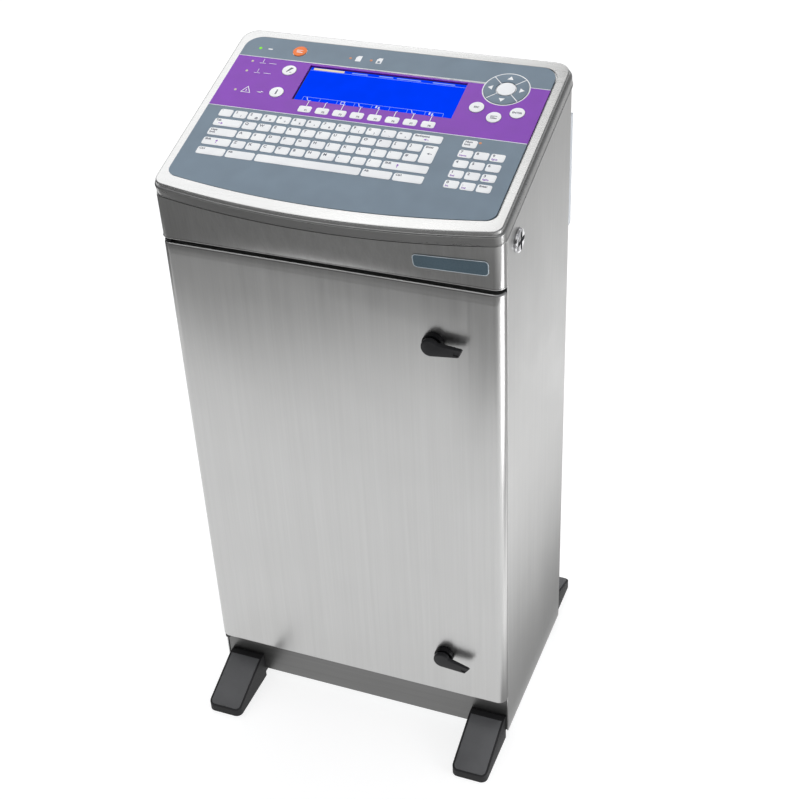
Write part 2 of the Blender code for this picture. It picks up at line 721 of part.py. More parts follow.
def fan():
    """A square axial fan behind the round opening of the rear panel."""
    back = CABINET_DEPTH - SHEET - GAP
    front = back - FAN_THICKNESS
    low_x, high_x = FAN_X - FAN_HALF, FAN_X + FAN_HALF
    low, high = FAN_HEIGHT - FAN_HALF, FAN_HEIGHT + FAN_HALF
    hole = circle((FAN_X, FAN_HEIGHT), FAN_RADIUS, 28)
    outlines = [rectangle(low_x, high_x, low, high), hole]
    housing = upright_slab("fan_housing", outlines, front, back, "black_plastic")

    strut_depths = (back - 0.004, back - 0.0005)
    strut = 0.002
    bite = 0.001
    motor_front = back - 0.0065
    struts = [
        block("fan_strut_x", (low_x + bite, high_x - bite), strut_depths,
              (FAN_HEIGHT - strut, FAN_HEIGHT + strut)),
        block("fan_strut_z", (FAN_X - strut, FAN_X + strut), strut_depths,
              (low + bite, high - bite)),
        rod("fan_motor", (FAN_X, motor_front, FAN_HEIGHT), (FAN_X, back - GAP, FAN_HEIGHT),
            FAN_HUB_RADIUS),
    ]
    unite(housing, struts)

    rotor_depths = (front + 0.001, motor_front - 0.001)
    rotor = rod(
        "fan_rotor",
        (FAN_X, rotor_depths[0], FAN_HEIGHT),
        (FAN_X, rotor_depths[1], FAN_HEIGHT),
        FAN_HUB_RADIUS,
        "black_plastic",
    )
    middle = Vector((FAN_X, FRONT_Y + sum(rotor_depths) / 2, FLOOR_GAP + FAN_HEIGHT))
    blades = []
    for i in range(FAN_BLADES):
        mesh = fan_blade_mesh(f"fan_blade_{i}")
        spin = Matrix.Rotation(math.tau * i / FAN_BLADES, 4, "Y")
        mesh.transform(Matrix.Translation(middle) @ spin)
        blades.append(add(mesh.name, mesh))
    unite(rotor, blades)
    on_axis("fan_axis", (FAN_X, front, FAN_HEIGHT), [rotor])


def fan_blade_mesh(name):
    """One pitched blade that reaches out along +X from the hub."""
    tip = FAN_RADIUS - 0.002
    root = FAN_HUB_RADIUS - 0.003
    blade_thickness = 0.0014
    blade_width = 0.015
    body = bmesh.new()
    bmesh.ops.create_cube(body, size=1)
    bmesh.ops.scale(body, verts=body.verts, vec=(tip - root, blade_thickness, blade_width))
    pitch = Matrix.Rotation(math.radians(38), 4, "X")
    bmesh.ops.transform(body, verts=body.verts, matrix=pitch)
    bmesh.ops.translate(body, verts=body.verts, vec=((tip + root) / 2, 0, 0))
    mesh = bpy.data.meshes.new(name)
    body.to_mesh(mesh)
    body.free()
    return mesh


# ---------------------------------------------------------------- door


def door_outline(inset):
    """The door's plan, from its left side round the front to its right side."""
    left = (DOOR_LEFT_X + DOOR_LEFT_RADIUS, DOOR_LEFT_RADIUS - DOOR_FACE)
    right = (DOOR_X - DOOR_RIGHT_RADIUS, DOOR_RIGHT_RADIUS - DOOR_FACE)
    front = arc(left, DOOR_LEFT_RADIUS - inset, 180, 270, 5)
    return front + arc(right, DOOR_RIGHT_RADIUS - inset, 270, 360, 6)


def door():
    """A folded sheet panel, open at the back, with a gasket that meets the face plate."""
    back = DOOR_RIGHT_RADIUS - DOOR_FACE
    low, high = DOOR_HEIGHTS
    outline = door_outline(0) + [(PIVOT_X, back)]
    panel = level_slab("door_panel", [outline], low, high, "brushed_steel")
    behind = 0.001
    hollow = door_outline(SHEET) + [(DOOR_X - SHEET, behind), (DOOR_LEFT_X + SHEET, behind)]
    inside = level_slab("door_hollow", [hollow], low + SHEET, high - SHEET)
    pivot_hole = rod(
        "door_pivot_hole",
        (PIVOT_X, PIVOT_DEPTH, low - 0.001),
        (PIVOT_X, PIVOT_DEPTH, high + 0.001),
        PIVOT_RADIUS + GAP,
        sides=12,
    )
    holes = [inside, pivot_hole]
    for name, height in LATCH_HEIGHTS.items():
        where = (LATCH_X, -DOOR_FACE - 0.002, height), (LATCH_X, SHEET * 2 - DOOR_FACE, height)
        holes.append(rod(f"{name}_latch_hole", *where, BARREL_RADIUS + GAP))
    cut(panel, holes)

    gasket_x = DOORWAY_X + 0.001
    gasket_low = DOORWAY_LOW - 0.005
    gasket_high = DOORWAY_HIGH + 0.005
    width = 0.008
    rings = [
        rectangle(-gasket_x - width, gasket_x + width, gasket_low - width, gasket_high + width),
        rectangle(-gasket_x, gasket_x, gasket_low, gasket_high),
    ]
    depths = (SHEET + GAP - DOOR_FACE, FACE_PLATE_DEPTH - 0.0005)
    gasket = upright_slab("door_gasket", rings, *depths, "black_rubber")
    return [panel, gasket]


def door_pivots():
    """Black bushes that carry the door's pins, on tabs from the plinth and the door frame."""
    low, high = DOOR_HEIGHTS
    tab_half = 0.003
    for name, edge, sign in (("door_pivot_lower", low, -1), ("door_pivot_upper", high, 1)):

        def upright(suffix, start, end, radius, sides, material=None):
            where = (PIVOT_X, PIVOT_DEPTH, min(start, end)), (PIVOT_X, PIVOT_DEPTH, max(start, end))
            return rod(name + suffix, *where, radius, material, sides)

        far = edge + sign * BUSH_LENGTH
        bush = upright("", edge + sign * GAP, far, BUSH_RADIUS, 16, "black_plastic")
        pin = upright("_pin", far, edge - sign * PIN_REACH, PIVOT_RADIUS, 12)
        tab = block(
            name + "_tab",
            (PIVOT_X - tab_half, PIVOT_X + tab_half),
            (PIVOT_DEPTH, FACE_PLATE_DEPTH - GAP),
            sorted(edge + sign * reach for reach in PIVOT_TAB),
        )
        unite(bush, [pin, tab])


def latch(name, height):
    """A quarter-turn wing latch: housing through the door, a lever outside and a cam inside."""
    bore_radius = SPINDLE_RADIUS + GAP
    face = -DOOR_FACE
    inner = face + SHEET
    nut_end = inner + 0.0051
    back, front = LEVER_OUT

    def turned(suffix, start, end, radius, material=None, end_radius=None, sides=24):
        where = (LATCH_X, start, height), (LATCH_X, end, height)
        return rod(f"{name}_latch_{suffix}", *where, radius, material, sides, end_radius)

    rosette = (face - GAP, face - ROSETTE_OUT, ROSETTE_RADIUS)
    housing = turned("housing", *rosette, "black_plastic", ROSETTE_RADIUS - 0.001)
    barrel = turned("barrel", face - 0.001, inner + 0.004, BARREL_RADIUS)
    nut = turned("nut", inner + GAP, nut_end, LATCH_NUT_RADIUS, sides=6)
    bore = turned("bore", face - ROSETTE_OUT - 0.001, nut_end + 0.003, bore_radius)
    unite(housing, [barrel, nut])
    cut(housing, [bore])

    turn = math.radians(LEVER_TURNS[name])
    outline = arc((0, 0), LEVER_HUB_RADIUS, 40, 278, 12) + list(LEVER_TIP)
    outline = [
        (
            LATCH_X + x * math.cos(turn) - z * math.sin(turn),
            height + x * math.sin(turn) + z * math.cos(turn),
        )
        for x, z in outline
    ]
    handle = upright_slab(
        f"{name}_latch_handle", [outline], face - front, face - back, "black_plastic"
    )
    spindle = turned("spindle", face - (back + front) / 2, CAM_DEPTHS[1] + 0.001, SPINDLE_RADIUS)
    unite(handle, [spindle])

    cam_radius, cam_reach, cam_half = 0.009, 0.030, 0.006
    arm = arc((0, 0), cam_radius, 90, 270, 8) + [(cam_reach, -cam_half), (cam_reach, cam_half)]
    arm = [(LATCH_X + x, height + z) for x, z in arm]
    hole = circle((LATCH_X, height), bore_radius, 16)
    cam = upright_slab(f"{name}_latch_cam", [arm, hole], *CAM_DEPTHS, "zinc_sheet")
    on_axis(f"{name}_latch_axis", (LATCH_X, face, height), [handle, cam])
    return housing


# ---------------------------------------------------------------- console


def pad_sector(middle_angle):
    """A quarter of the direction pad, short of its neighbours by a groove."""
    inner = PAD_HUB_RADIUS + PAD_GROOVE
    outer_turn = math.degrees(PAD_GROOVE / PAD_RADIUS)
    inner_turn = math.degrees(PAD_GROOVE / inner)
    outside = arc(PAD_CENTRE, PAD_RADIUS, middle_angle - 45 + outer_turn,
                  middle_angle + 45 - outer_turn, 6)
    inside = arc(PAD_CENTRE, inner, middle_angle + 45 - inner_turn,
                 middle_angle - 45 + inner_turn, 4)
    return outside + inside


def bezel():
    """A tray that carries the membrane, on a skirt with a lip turned in under it."""
    skirt = (SKIRT_X, SKIRT_FRONT, SKIRT_REAR, FRONT_RADIUS, REAR_RADIUS)
    tray = (TRAY_X, TRAY_FRONT, TRAY_REAR, FRONT_RADIUS - 0.001, REAR_RADIUS - 0.001)
    ledge = -TRAY_THICKNESS
    body = console_slab("console_bezel", [console_outline(*skirt)], SKIRT_OUT, ledge, "satin_steel")
    top = console_slab("bezel_tray", [console_outline(*tray)], ledge - 0.001, 0)
    unite(body, [top])

    def inset(distance):
        return console_outline(
            SKIRT_X - distance,
            SKIRT_FRONT + distance,
            SKIRT_REAR - distance,
            FRONT_RADIUS - SHEET,
            REAR_RADIUS - SHEET,
        )

    hollow = console_slab(
        "bezel_hollow", [inset(SHEET)], SKIRT_OUT + SHEET, ledge - 0.0001
    )
    mouth = console_slab("bezel_mouth", [inset(SKIRT_LIP)], SKIRT_OUT - 0.001, SKIRT_OUT + 0.002)
    notch = console_slab(
        "bezel_hinge_notch",
        [rectangle(-BRACKET_X - 0.001, BRACKET_X + 0.001, HINGE_NOTCH_UP, SKIRT_REAR - 0.0018)],
        SKIRT_OUT - 0.001,
        SKIRT_OUT + 0.002,
    )
    half, low, high = MODULE_WINDOW
    opening = [rectangle(-half, half, low, high)]
    window = console_slab("bezel_window", opening, ledge - 0.001, 0.001)
    edge = (OVERLAY_X + GAP, OVERLAY_FRONT - GAP, OVERLAY_REAR + GAP, FRONT_RADIUS, FRONT_RADIUS)
    pocket = console_slab("bezel_pocket", [console_outline(*edge)], POCKET_OUT, 0.001)
    cut(body, [hollow, mouth, notch, window, pocket])
    return body


def membrane():
    """The one-piece overlay, with openings for the display and for the keys that travel."""
    outlines = [
        console_outline(OVERLAY_X, OVERLAY_FRONT, OVERLAY_REAR, FRONT_RADIUS, FRONT_RADIUS),
        rectangle(-LCD_X, LCD_X, *LCD_UP),
    ]
    for centre in ROUND_KEYS.values():
        outlines.append(circle(centre, KEY_RADIUS + GAP, 20))
    outlines.append(circle(PAD_CENTRE, PAD_RADIUS + GAP, 28))
    overlay = console_slab("membrane_overlay", outlines, *OVERLAY_OUT, "membrane_grey")
    window = console_slab(
        "display_window",
        [rectangle(GAP - LCD_X, LCD_X - GAP, LCD_UP[0] + GAP, LCD_UP[1] - GAP)],
        OVERLAY_OUT[0],
        LCD_OUT,
        "window_blue",
    )
    half, low, high = MODULE
    outline = [rectangle(-half, half, low, high)]
    module = console_slab("display_module", outline, *MODULE_OUT, "black_plastic")
    half, low, high = BOARD
    outline = [rectangle(-half, half, low, high)]
    board = console_slab("console_board", outline, *BOARD_OUT, "circuit_green")
    return [overlay, window, module, board]


def place_origin(key, centre):
    """Moves a key's origin to its own centre on the console's face."""
    origin = CONSOLE @ Vector((*centre, 0))
    key.data.transform(Matrix.Translation(-origin))
    key.location = origin


def keys():
    made = []
    for name, centre in ROUND_KEYS.items():
        colour = "key_orange" if name == "power_key" else "key_white"
        key = console_slab(name, [circle(centre, KEY_RADIUS, 20)], *KEY_OUT, colour)
        place_origin(key, centre)
        made.append(key)
    outline = [circle(PAD_CENTRE, PAD_HUB_RADIUS, 20)]
    hub = console_slab("pad_centre_key", outline, *KEY_OUT, "key_white")
    place_origin(hub, PAD_CENTRE)
    made.append(hub)
    for name, angle in PAD_KEYS.items():
        key = console_slab(name, [pad_sector(angle)], *KEY_OUT, "membrane_grey")
        place_origin(key, PAD_CENTRE)
        made.append(key)
    return made


def hinge_barrel(name, low_x, high_x, radius, material=None, sides=16):
    start = (low_x, HINGE_DEPTH, HINGE_HEIGHT)
    return rod(name, start, (high_x, HINGE_DEPTH, HINGE_HEIGHT), radius, material, sides)


def console_hinge():
    """A fixed leaf on the rear panel, its pin, and a bracket on the console's rear wall."""
    bore_radius = HINGE_PIN_RADIUS + GAP
    leaf = hinge_barrel("console_hinge_leaf", -LEAF_X, LEAF_X, HINGE_RADIUS, "satin_steel")
    leaf_depths = (CABINET_DEPTH + GAP, CABINET_DEPTH + GAP + SHEET)
    leaf_heights = (HINGE_HEIGHT - LEAF_HEIGHT, HINGE_HEIGHT)
    plate = block("hinge_leaf_plate", (-LEAF_X, LEAF_X), leaf_depths, leaf_heights)
    bore = hinge_barrel("hinge_bore", -BRACKET_X - 0.001, BRACKET_X + 0.001, bore_radius)
    unite(leaf, [plate])
    cut(leaf, [bore])
    pin_x = BRACKET_X + 0.002
    hinge_barrel("console_hinge_pin", -pin_x, pin_x, HINGE_PIN_RADIUS, "chrome", 12)

    outline = [rectangle(-BRACKET_X, BRACKET_X, *BRACKET_UP)]
    bracket = console_slab("console_hinge_bracket", outline, *BRACKET_OUT, "satin_steel")
    pieces = []
    knuckle = LEAF_X + 0.0005
    for side, low_x, high_x in (("left", -BRACKET_X, -knuckle), ("right", knuckle, BRACKET_X)):
        pieces.append(hinge_barrel(f"bracket_barrel_{side}", low_x, high_x, HINGE_RADIUS))
        outline = [rectangle(low_x, high_x, *BRACKET_ARM_UP)]
        pieces.append(console_slab(f"bracket_arm_{side}", outline, *BRACKET_ARM_OUT))
    unite(bracket, pieces)
    cut(bracket, [bore])
    return bracket


def side_lock(side, sign):
    """A quarter-turn fastener through the side panel, with a short tongue inside."""
    name = f"side_lock_{side}"
    outside = SIDE_X + GAP
    end = outside + LOCK_OUT
    slot_floor = end - 0.0012
    slot = (0.0085, 0.0020)
    inner, inner_end = LOCK_TONGUE_X
    centre = (LOCK_DEPTH, LOCK_HEIGHT)

    def across(suffix, start, stop, radius, material=None, sides=24, end_radius=None):
        where = (sign * start, *centre), (sign * stop, *centre)
        return rod(name + suffix, *where, radius, material, sides, end_radius)

    head = across("", outside, end, LOCK_RADIUS, "chrome", end_radius=LOCK_RADIUS - 0.0015)
    shaft = across("_shaft", inner, outside + 0.001, LOCK_SHAFT_RADIUS, sides=16)
    tongue = block(
        name + "_tongue",
        sorted((sign * inner, sign * inner_end)),
        (LOCK_DEPTH - 0.005, LOCK_DEPTH + 0.005),
        (LOCK_HEIGHT - 0.007, LOCK_HEIGHT + 0.020),
    )
    slots = []
    for i, (half_depth, half_height) in enumerate((slot, slot[::-1])):
        slots.append(
            block(
                f"{name}_slot_{i}",
                sorted((sign * slot_floor, sign * (end + 0.002))),
                (LOCK_DEPTH - half_depth, LOCK_DEPTH + half_depth),
                (LOCK_HEIGHT - half_height, LOCK_HEIGHT + half_height),
            )
        )
    unite(head, [shaft, tongue])
    cut(head, slots)
    on_axis(f"{name}_axis", (sign * SIDE_X, *centre), [head])


# ---------------------------------------------------------------- the whole machine


def build():
    side_panels()
    rear_panel()
    base_and_plinth()
    door_frame()
    mid_shelf()
    fascia_and_badge()
    feet()
    rear_fittings()
    tanks()
    ink_circuit()
    electronics()
    fan()
    door_pieces = door()
    door_pivots()
    door_pieces += [latch(name, height) for name, height in LATCH_HEIGHTS.items()]
    axis = on_axis("door_axis", (PIVOT_X, PIVOT_DEPTH, DOOR_HEIGHTS[0]), door_pieces)
    for name in LATCH_HEIGHTS:
        hung = bpy.data.objects[f"{name}_latch_axis"]
        hung.parent = axis
        hung.matrix_parent_inverse = axis.matrix_world.inverted()
    console_pieces = [bezel(), *membrane(), *keys(), console_hinge()]
    on_axis("console_axis", (0, HINGE_DEPTH, HINGE_HEIGHT), console_pieces)
    side_lock("left", -1)
    side_lock("right", 1)


clear_scene()
PARTS = new_collection("date_code_printer")
CUTTERS = new_collection("cutters")
CUTTERS.hide_render = True
build()
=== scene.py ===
"""Looks of the date code inkjet printer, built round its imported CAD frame.

Metres, +Z up, the front faces -Y. As in the CAD, "depth" is measured back from the cabinet's front
edge, "height" up from its base plate, and on the console "up" is measured up the slope and "out"
square to it."""

import math

import bmesh
import bpy
from mathutils import Matrix, Vector


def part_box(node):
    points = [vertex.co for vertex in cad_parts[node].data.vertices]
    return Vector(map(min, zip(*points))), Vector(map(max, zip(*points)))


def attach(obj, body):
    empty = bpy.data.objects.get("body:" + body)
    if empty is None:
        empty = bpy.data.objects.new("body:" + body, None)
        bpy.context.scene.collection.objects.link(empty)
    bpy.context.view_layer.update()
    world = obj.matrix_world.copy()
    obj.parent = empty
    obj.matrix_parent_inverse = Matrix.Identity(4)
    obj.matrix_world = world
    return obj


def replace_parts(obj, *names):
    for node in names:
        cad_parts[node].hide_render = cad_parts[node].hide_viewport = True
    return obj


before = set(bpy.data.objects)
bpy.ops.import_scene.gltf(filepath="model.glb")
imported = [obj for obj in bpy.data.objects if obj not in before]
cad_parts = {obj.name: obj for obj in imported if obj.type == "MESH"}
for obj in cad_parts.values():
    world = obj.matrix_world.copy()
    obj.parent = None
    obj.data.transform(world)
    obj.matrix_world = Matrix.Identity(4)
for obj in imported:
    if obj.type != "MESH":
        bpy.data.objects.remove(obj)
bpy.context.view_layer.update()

# ---------------------------------------------------------------- driving dimensions

SIDE_LOW, SIDE_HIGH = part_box("side_panel_left")
FRONT_Y = SIDE_LOW.y
REAR_Y = SIDE_HIGH.y
CABINET_DEPTH = REAR_Y - FRONT_Y
BASE_Z = SIDE_LOW.z
SHEET = SIDE_HIGH.x - SIDE_LOW.x
GAP = 0.0003

# Console plane and outline
CONSOLE_TILT = math.radians(16.4)
CONSOLE_FRONT_HEIGHT = 0.6301
BOW = 0.55
TRAY = (0.1678, -0.0298, 0.2098)
BEZEL_SHIFT = 0.0012
SKIRT = (0.1697, -0.0312, 0.2110)
SKIRT_OUT = -0.0162
LEDGE_OUT = -0.0034
CORNERS = (0.0105, 0.0160)
OVERLAY = (0.1585, -0.0155, 0.1996)
OVERLAY_OUT = (-0.0014, 0.0001)
PRINT_OUT = 0.00035
LCD_X = 0.080
LCD_UP = (0.1165, 0.1663)
LCD_OUT = -0.0013
BAND_UP = (0.0958, 0.1699)
KEY_RADIUS = 0.0070
KEY_OUT = (-0.0002, 0.0007)
ROUND_KEYS = {
    "power_key": (-0.0987, 0.1840),
    "print_key": (-0.0983, 0.1552),
    "info_key": (-0.0984, 0.1228),
    "escape_key": (0.0984, 0.1352),
    "edit_key": (0.1181, 0.1246),
    "enter_key": (0.1377, 0.1338),
}
PAD_CENTRE = (0.1178, 0.1639)
PAD_RADIUS = 0.0212
PAD_HUB_RADIUS = 0.0090
PAD_GROOVE = 0.0010
PAD_KEYS = {"pad_right_key": 0, "pad_up_key": 90, "pad_left_key": 180, "pad_down_key": 270}

# Printed keyboard
KEY_PITCH = (0.01505, 0.0132)
KEY_SIZE = (0.0134, 0.0097)
KEY_CORNER = 0.0021
KEYBOARD_CORNER = (-0.1425, 0.0912)
NUMBER_PAD_CORNER = (0.1012, 0.0781)
KEY_ROWS = (
    [*"`1234567890-=", ("Backspace", 2)],
    [("Tab", 2), *"QWERTYUIOP[]"],
    [("Caps lock", 2), *"ASDFGHJKL;'#"],
    [("Shift", 2), *"ZXCVBNM,./", ("Shift", 3)],
    [("Ctrl", 2), ("Alt", 2), ("", 7), ("Alt", 2), ("Ctrl", 2)],
)
SHIFTED = "!@#$%^&*()_+"
ARROWED = {
    "Tab": (0.0060, -0.0055, 0),
    "Shift": (0.0125, -0.0036, 90),
    "Backspace": (0.0120, -0.0058, 180),
}
PAD_WORDS = {"7": "Home", "9": "PgUp", "1": "End", "3": "PgDn", "0": "Ins", ".": "Del"}
LEGEND_INSET = (0.0016, 0.0008)
LETTER_SIZE = 0.0043
WORD_SIZE = 0.0034
MARK_SIZE = 0.0031
PAD_WORD_SIZE = 0.0027
NUMBER_ROWS = ("789", "456", "123", "0.")
LETTER_TOP = 0.75
SHIFTED_INSET = (0.0060, 0.0070)
PAD_WORD_DROP = 0.0072
ENTER_ARROW = (0.0060, -0.0100, 180)
ARROW_SHAPE = (
    (-0.0024, -0.0003),
    (0.0002, -0.0003),
    (0.0002, -0.0013),
    (0.0024, 0.0),
    (0.0002, 0.0013),
    (0.0002, 0.0003),
    (-0.0024, 0.0003),
)
SOFT_KEYS = 8
SOFT_KEY_PITCH = 0.0176
SOFT_KEY_SIZE = (0.0131, 0.0084)
SOFT_KEY_UP = 0.1047
SOFT_LEGEND_DROP = 0.0026

# Heights of printed and embossed shapes above what they lie on
KEY_PRINT_LOW = 0.00005
KEY_EDGE = 0.00012
SOFT_KEY_EDGE = 0.00010
LINE_PRINT_OUT = 0.00018
LEGEND_LIFT = 0.00004
KEY_SIGN_LIFT = 0.00006
DISPLAY_LIFT = 0.00008

# Display: how far its face stays inside the opening at the left, right, bottom and top; the wider
# black margins at the left and top are painted shade of the recess
DISPLAY_INSETS_WITH_PAINTED_SHADE = (0.0013, 0.0004, 0.0003, 0.0012)
DISPLAY_THICKNESS = 0.0004
SURROUND_REACH = 0.0015
DISPLAY_LINE = 0.00035
MENU_TOP = 0.1232
MENU_LEADER_TOP = 0.1190
MENU_SIGN_PLACE = (-0.0030, 0.1206)
MENU_SIGNS = (0, 2, 3, 4, 6, 7)
HEADER_DROP = 0.0040
HEADER_WORDS = ((-0.036, -0.020), (-0.008, 0.006), (0.010, 0.034), (0.046, 0.068))
HEADER_WORD_UP = (0.0014, 0.0026)
TAB_START = 0.0030
TAB_END = -0.0440
TAB_UP = (0.0008, 0.0034)

# Indicator lamps: radius and places
INDICATORS = {
    "green_lamp": (0.00175, [(-0.1406, 0.1827)]),
    "pale_lamp": (0.0014, [(-0.1407, 0.1628), (-0.1408, 0.1482), (-0.1408, 0.1200)]),
    "amber_lamp": (0.0014, [(-0.0449, 0.1826), (-0.0234, 0.1827), (0.1168, 0.0895)]),
}
INDICATOR_OUT = 0.0005
DOME_ANGLES = (0, 0.5, 1.0, 1.4)

# White signs: strokes are pairs of ends, outlines are points
SIGN_LINE = 0.0005
DASH_SIGN = (-0.1322, -0.1274, 0.1819, 0.1835)
DASH_CORNER = 0.0007
HEAD_SIGN_UPS = (0.1640, 0.1494)
HEAD_SIGN = (
    ((-0.1325, -0.0026), (-0.1262, -0.0026)),
    ((-0.1294, -0.0012), (-0.1294, 0.0034)),
    ((-0.1225, -0.0020), (-0.1150, -0.0020)),
)
WARNING_CENTRE = (-0.1296, 0.1208)
WARNING_SIZE = 0.0062
WARNING_BAR = (-0.0012, 0.0016)
FLOW_LINE = ((-0.1180, 0.1205), (-0.1137, 0.1205))
FLOW_HEAD = ((-0.1140, 0.1190), (-0.1108, 0.1205), (-0.1140, 0.1220))
CARTRIDGE_X = (-0.0365, -0.0152)
CARTRIDGE_SIGN = (
    (-0.0028, 0.1792),
    (0.0028, 0.1792),
    (0.0028, 0.1872),
    (-0.0008, 0.1872),
    (-0.0028, 0.1852),
)
CARTRIDGE_MARK = (-0.0166, -0.0140, 0.1800, 0.1828)

# Travelling keys: legends with their letter size, or strokes with their share of the line width
KEY_CAP_EDGE = 0.00018
PAD_CAP_EDGE = 0.00015
PAD_BACKING_OUT = (-0.0013, -0.0008)
PAD_ARROW = ((0.0178, 0.0), (0.0132, 0.0030), (0.0132, -0.0030))
KEY_WORDS = {
    "escape_key": ("ESC", 0.0031),
    "enter_key": ("ENTER", 0.0031),
    "info_key": ("i", 0.0095),
}
KEY_SIGN_LINE = 0.0006
THREE_LINES = (
    ((-0.0034, 0.0013), (0.0030, 0.0013), 1),
    ((-0.0034, -0.0001), (0.0010, -0.0001), 1),
    ((-0.0030, -0.0017), (0.0034, -0.0017), 1.5),
)
KEY_SIGNS = {
    "power_key": THREE_LINES,
    "edit_key": THREE_LINES,
    "print_key": (
        ((-0.0022, -0.0030), (0.0030, 0.0034), 1.5),
        ((0.0004, 0.0034), (0.0034, 0.0034), 1),
        ((0.0012, -0.0030), (0.0034, -0.0030), 1),
    ),
}

# Fascia, door and latches
FASCIA_BOTTOM = 0.5652
FASCIA_TOP_OUT = -0.0165
DOOR_FACE = 0.0106
DOOR_HEIGHTS = (0.0495, 0.5610)
DOOR_X = 0.1697
DOOR_LEFT_X = -0.1689
DOOR_LEFT_RADIUS = 0.0085
DOOR_RIGHT_RADIUS = 0.0097
BADGE_X = (0.0879, 0.1569)
BADGE_HEIGHTS = (0.5800, 0.5950)
PIVOT = (-0.1630, -0.0064)
FASCIA_BEAD = 0.0013
DOOR_FOLD = 0.0024
LATCH_X = 0.103
LATCH_HEIGHTS = {"upper": 0.5015, "lower": 0.1065}
LEVER_TURNS = {"upper": 0, "lower": -11}
ROSETTE_RADIUS = 0.0104
ROSETTE_OUT = 0.0055
BARREL_RADIUS = 0.0088
SPINDLE_RADIUS = 0.0040
LEVER_OUT = (0.0072, 0.0119)
LEVER_HUB_RADIUS = 0.0090
LEVER_TIP = ((0.0275, -0.0058), (0.0315, 0.0042))
LEVER_TIP_RADII = (0.0012, 0.0014)
LEVER_TIP_BACK = (0.0008, 0.0016)
LEVER_RINGS = (
    # inset, inset at the upper edge, back (0) or front (1) face, distance from it, rise at the tip
    (0.0010, 0.0010, 0, 0.0, 0.0022),
    (0.0, 0.0, 0, 0.0008, 0.0020),
    (0.0, 0.0, 1, -0.0014, 0.0),
    (0.0004, 0.0012, 1, -0.0004, 0.0),
    (0.0010, 0.0026, 1, 0.0, 0.0),
)
LEVER_POCKET = (0.0226, 0.0278, -0.0036, 0.0006)
LEVER_POCKET_CORNER = 0.0009
LEVER_POCKET_DEPTH = 0.0007
COLLAR_RADII = (0.0062, 0.0072)
LATCH_NUT_RADIUS = 0.0130

# Side locks and feet
LOCK_DEPTH = 0.0290
LOCK_HEIGHT = 0.5960
LOCK_RADIUS = 0.0113
LOCK_SHAFT_RADIUS = 0.0060
LOCK_CROSS = (0.0088, 0.0022)
LOCK_CROSS_CORNER = 0.0012
LOCK_RECESS_DEPTH = 0.0024
# The head's rim as steps in from its radius and back from its face
LOCK_RIM = ((0.0, 0.0030), (0.0, 0.0018), (0.0004, 0.0009), (0.0013, 0.0003), (0.0024, 0.0))
LOCK_TONGUE = (-0.005, 0.005, -0.007, 0.020)
LOCK_TONGUE_CORNER = 0.003
LOCK_TONGUE_THICKNESS = 0.002
FOOT_CORNER = 0.0072
FOOT_TOE_HEIGHT = 0.0085
FOOT_RIDGE = 0.0070

# Rear screws and tank caps
REAR_SCREW_X = 0.155
REAR_SCREW_HEIGHTS = (0.020, 0.160, 0.300, 0.480)
COVER_SCREW_INSET = 0.010
SCREW_RADIUS = 0.0036
CAP_RIBS = 36
CAP_RIB_DEPTH = 0.0007
CAP_BORE_RADIUS = 0.0184
SHARP_ANGLE = 32

UPRIGHT = Matrix.Rotation(math.pi / 2, 4, "X")
SIDEWAYS = Matrix(((0, 0, 1, 0), (1, 0, 0, 0), (0, 1, 0, 0), (0, 0, 0, 1)))
ORIGIN = Matrix.Translation((0, FRONT_Y, BASE_Z))
CONSOLE = Matrix.Translation((0, FRONT_Y, BASE_Z + CONSOLE_FRONT_HEIGHT)) @ Matrix.Rotation(
    CONSOLE_TILT, 4, "X"
)

# Camera
CAMERA_PLACE = (0.52067, -1.17807, 1.26206)
CAMERA_TURN = (53.944, 2.581, 21.382)
CAMERA_LENS = 67.83
CAMERA_SHIFT = (0.0061, 0.0264)


# ---------------------------------------------------------------- material nodes


def add_node(tree, kind, inputs=None, **settings):
    """A node with its settings, and inputs that are numbers or other nodes' outputs."""
    made = tree.nodes.new(kind)
    for key, value in settings.items():
        setattr(made, key, value)
    for socket, value in (inputs or {}).items():
        if isinstance(value, bpy.types.NodeSocket):
            tree.links.new(value, made.inputs[socket])
        else:
            made.inputs[socket].default_value = value
    return made


def place_in_piece(tree, scale=(1, 1, 1), tilt=0.0):
    """The piece's own coordinates in metres, scaled, with the console's tilt taken out if asked."""
    where = add_node(tree, "ShaderNodeTexCoord").outputs["Object"]
    if tilt:
        turn = {"Vector": where, "Rotation": (-tilt, 0, 0)}
        where = add_node(tree, "ShaderNodeMapping", turn).outputs["Vector"]
    return add_node(tree, "ShaderNodeMapping", {"Vector": where, "Scale": scale}).outputs["Vector"]


def noise(tree, scale, detail, tilt=0.0):
    """Noise with a stated number of blobs per metre along X, Y and Z."""
    where = place_in_piece(tree, scale, tilt)
    settings = {"Vector": where, "Scale": 1.0, "Detail": detail}
    return add_node(tree, "ShaderNodeTexNoise", settings).outputs["Fac"]


def span(tree, value, low, high, start=0.3, end=0.7):
    """Value from start to end, mapped to low to high."""
    settings = {"Value": value, "From Min": start, "From Max": end, "To Min": low, "To Max": high}
    return add_node(tree, "ShaderNodeMapRange", settings).outputs["Result"]


def blended(tree, share, low, high):
    """A colour between two colours, each an (r, g, b) or another node's output."""
    mix = add_node(tree, "ShaderNodeMix", {0: share}, data_type="RGBA")
    for socket, colour in ((6, low), (7, high)):
        if isinstance(colour, bpy.types.NodeSocket):
            tree.links.new(colour, mix.inputs[socket])
        else:
            mix.inputs[socket].default_value = (*colour, 1.0)
    return mix.outputs[2]


def shade(colour, factor):
    return tuple(min(1.0, channel * factor) for channel in colour)


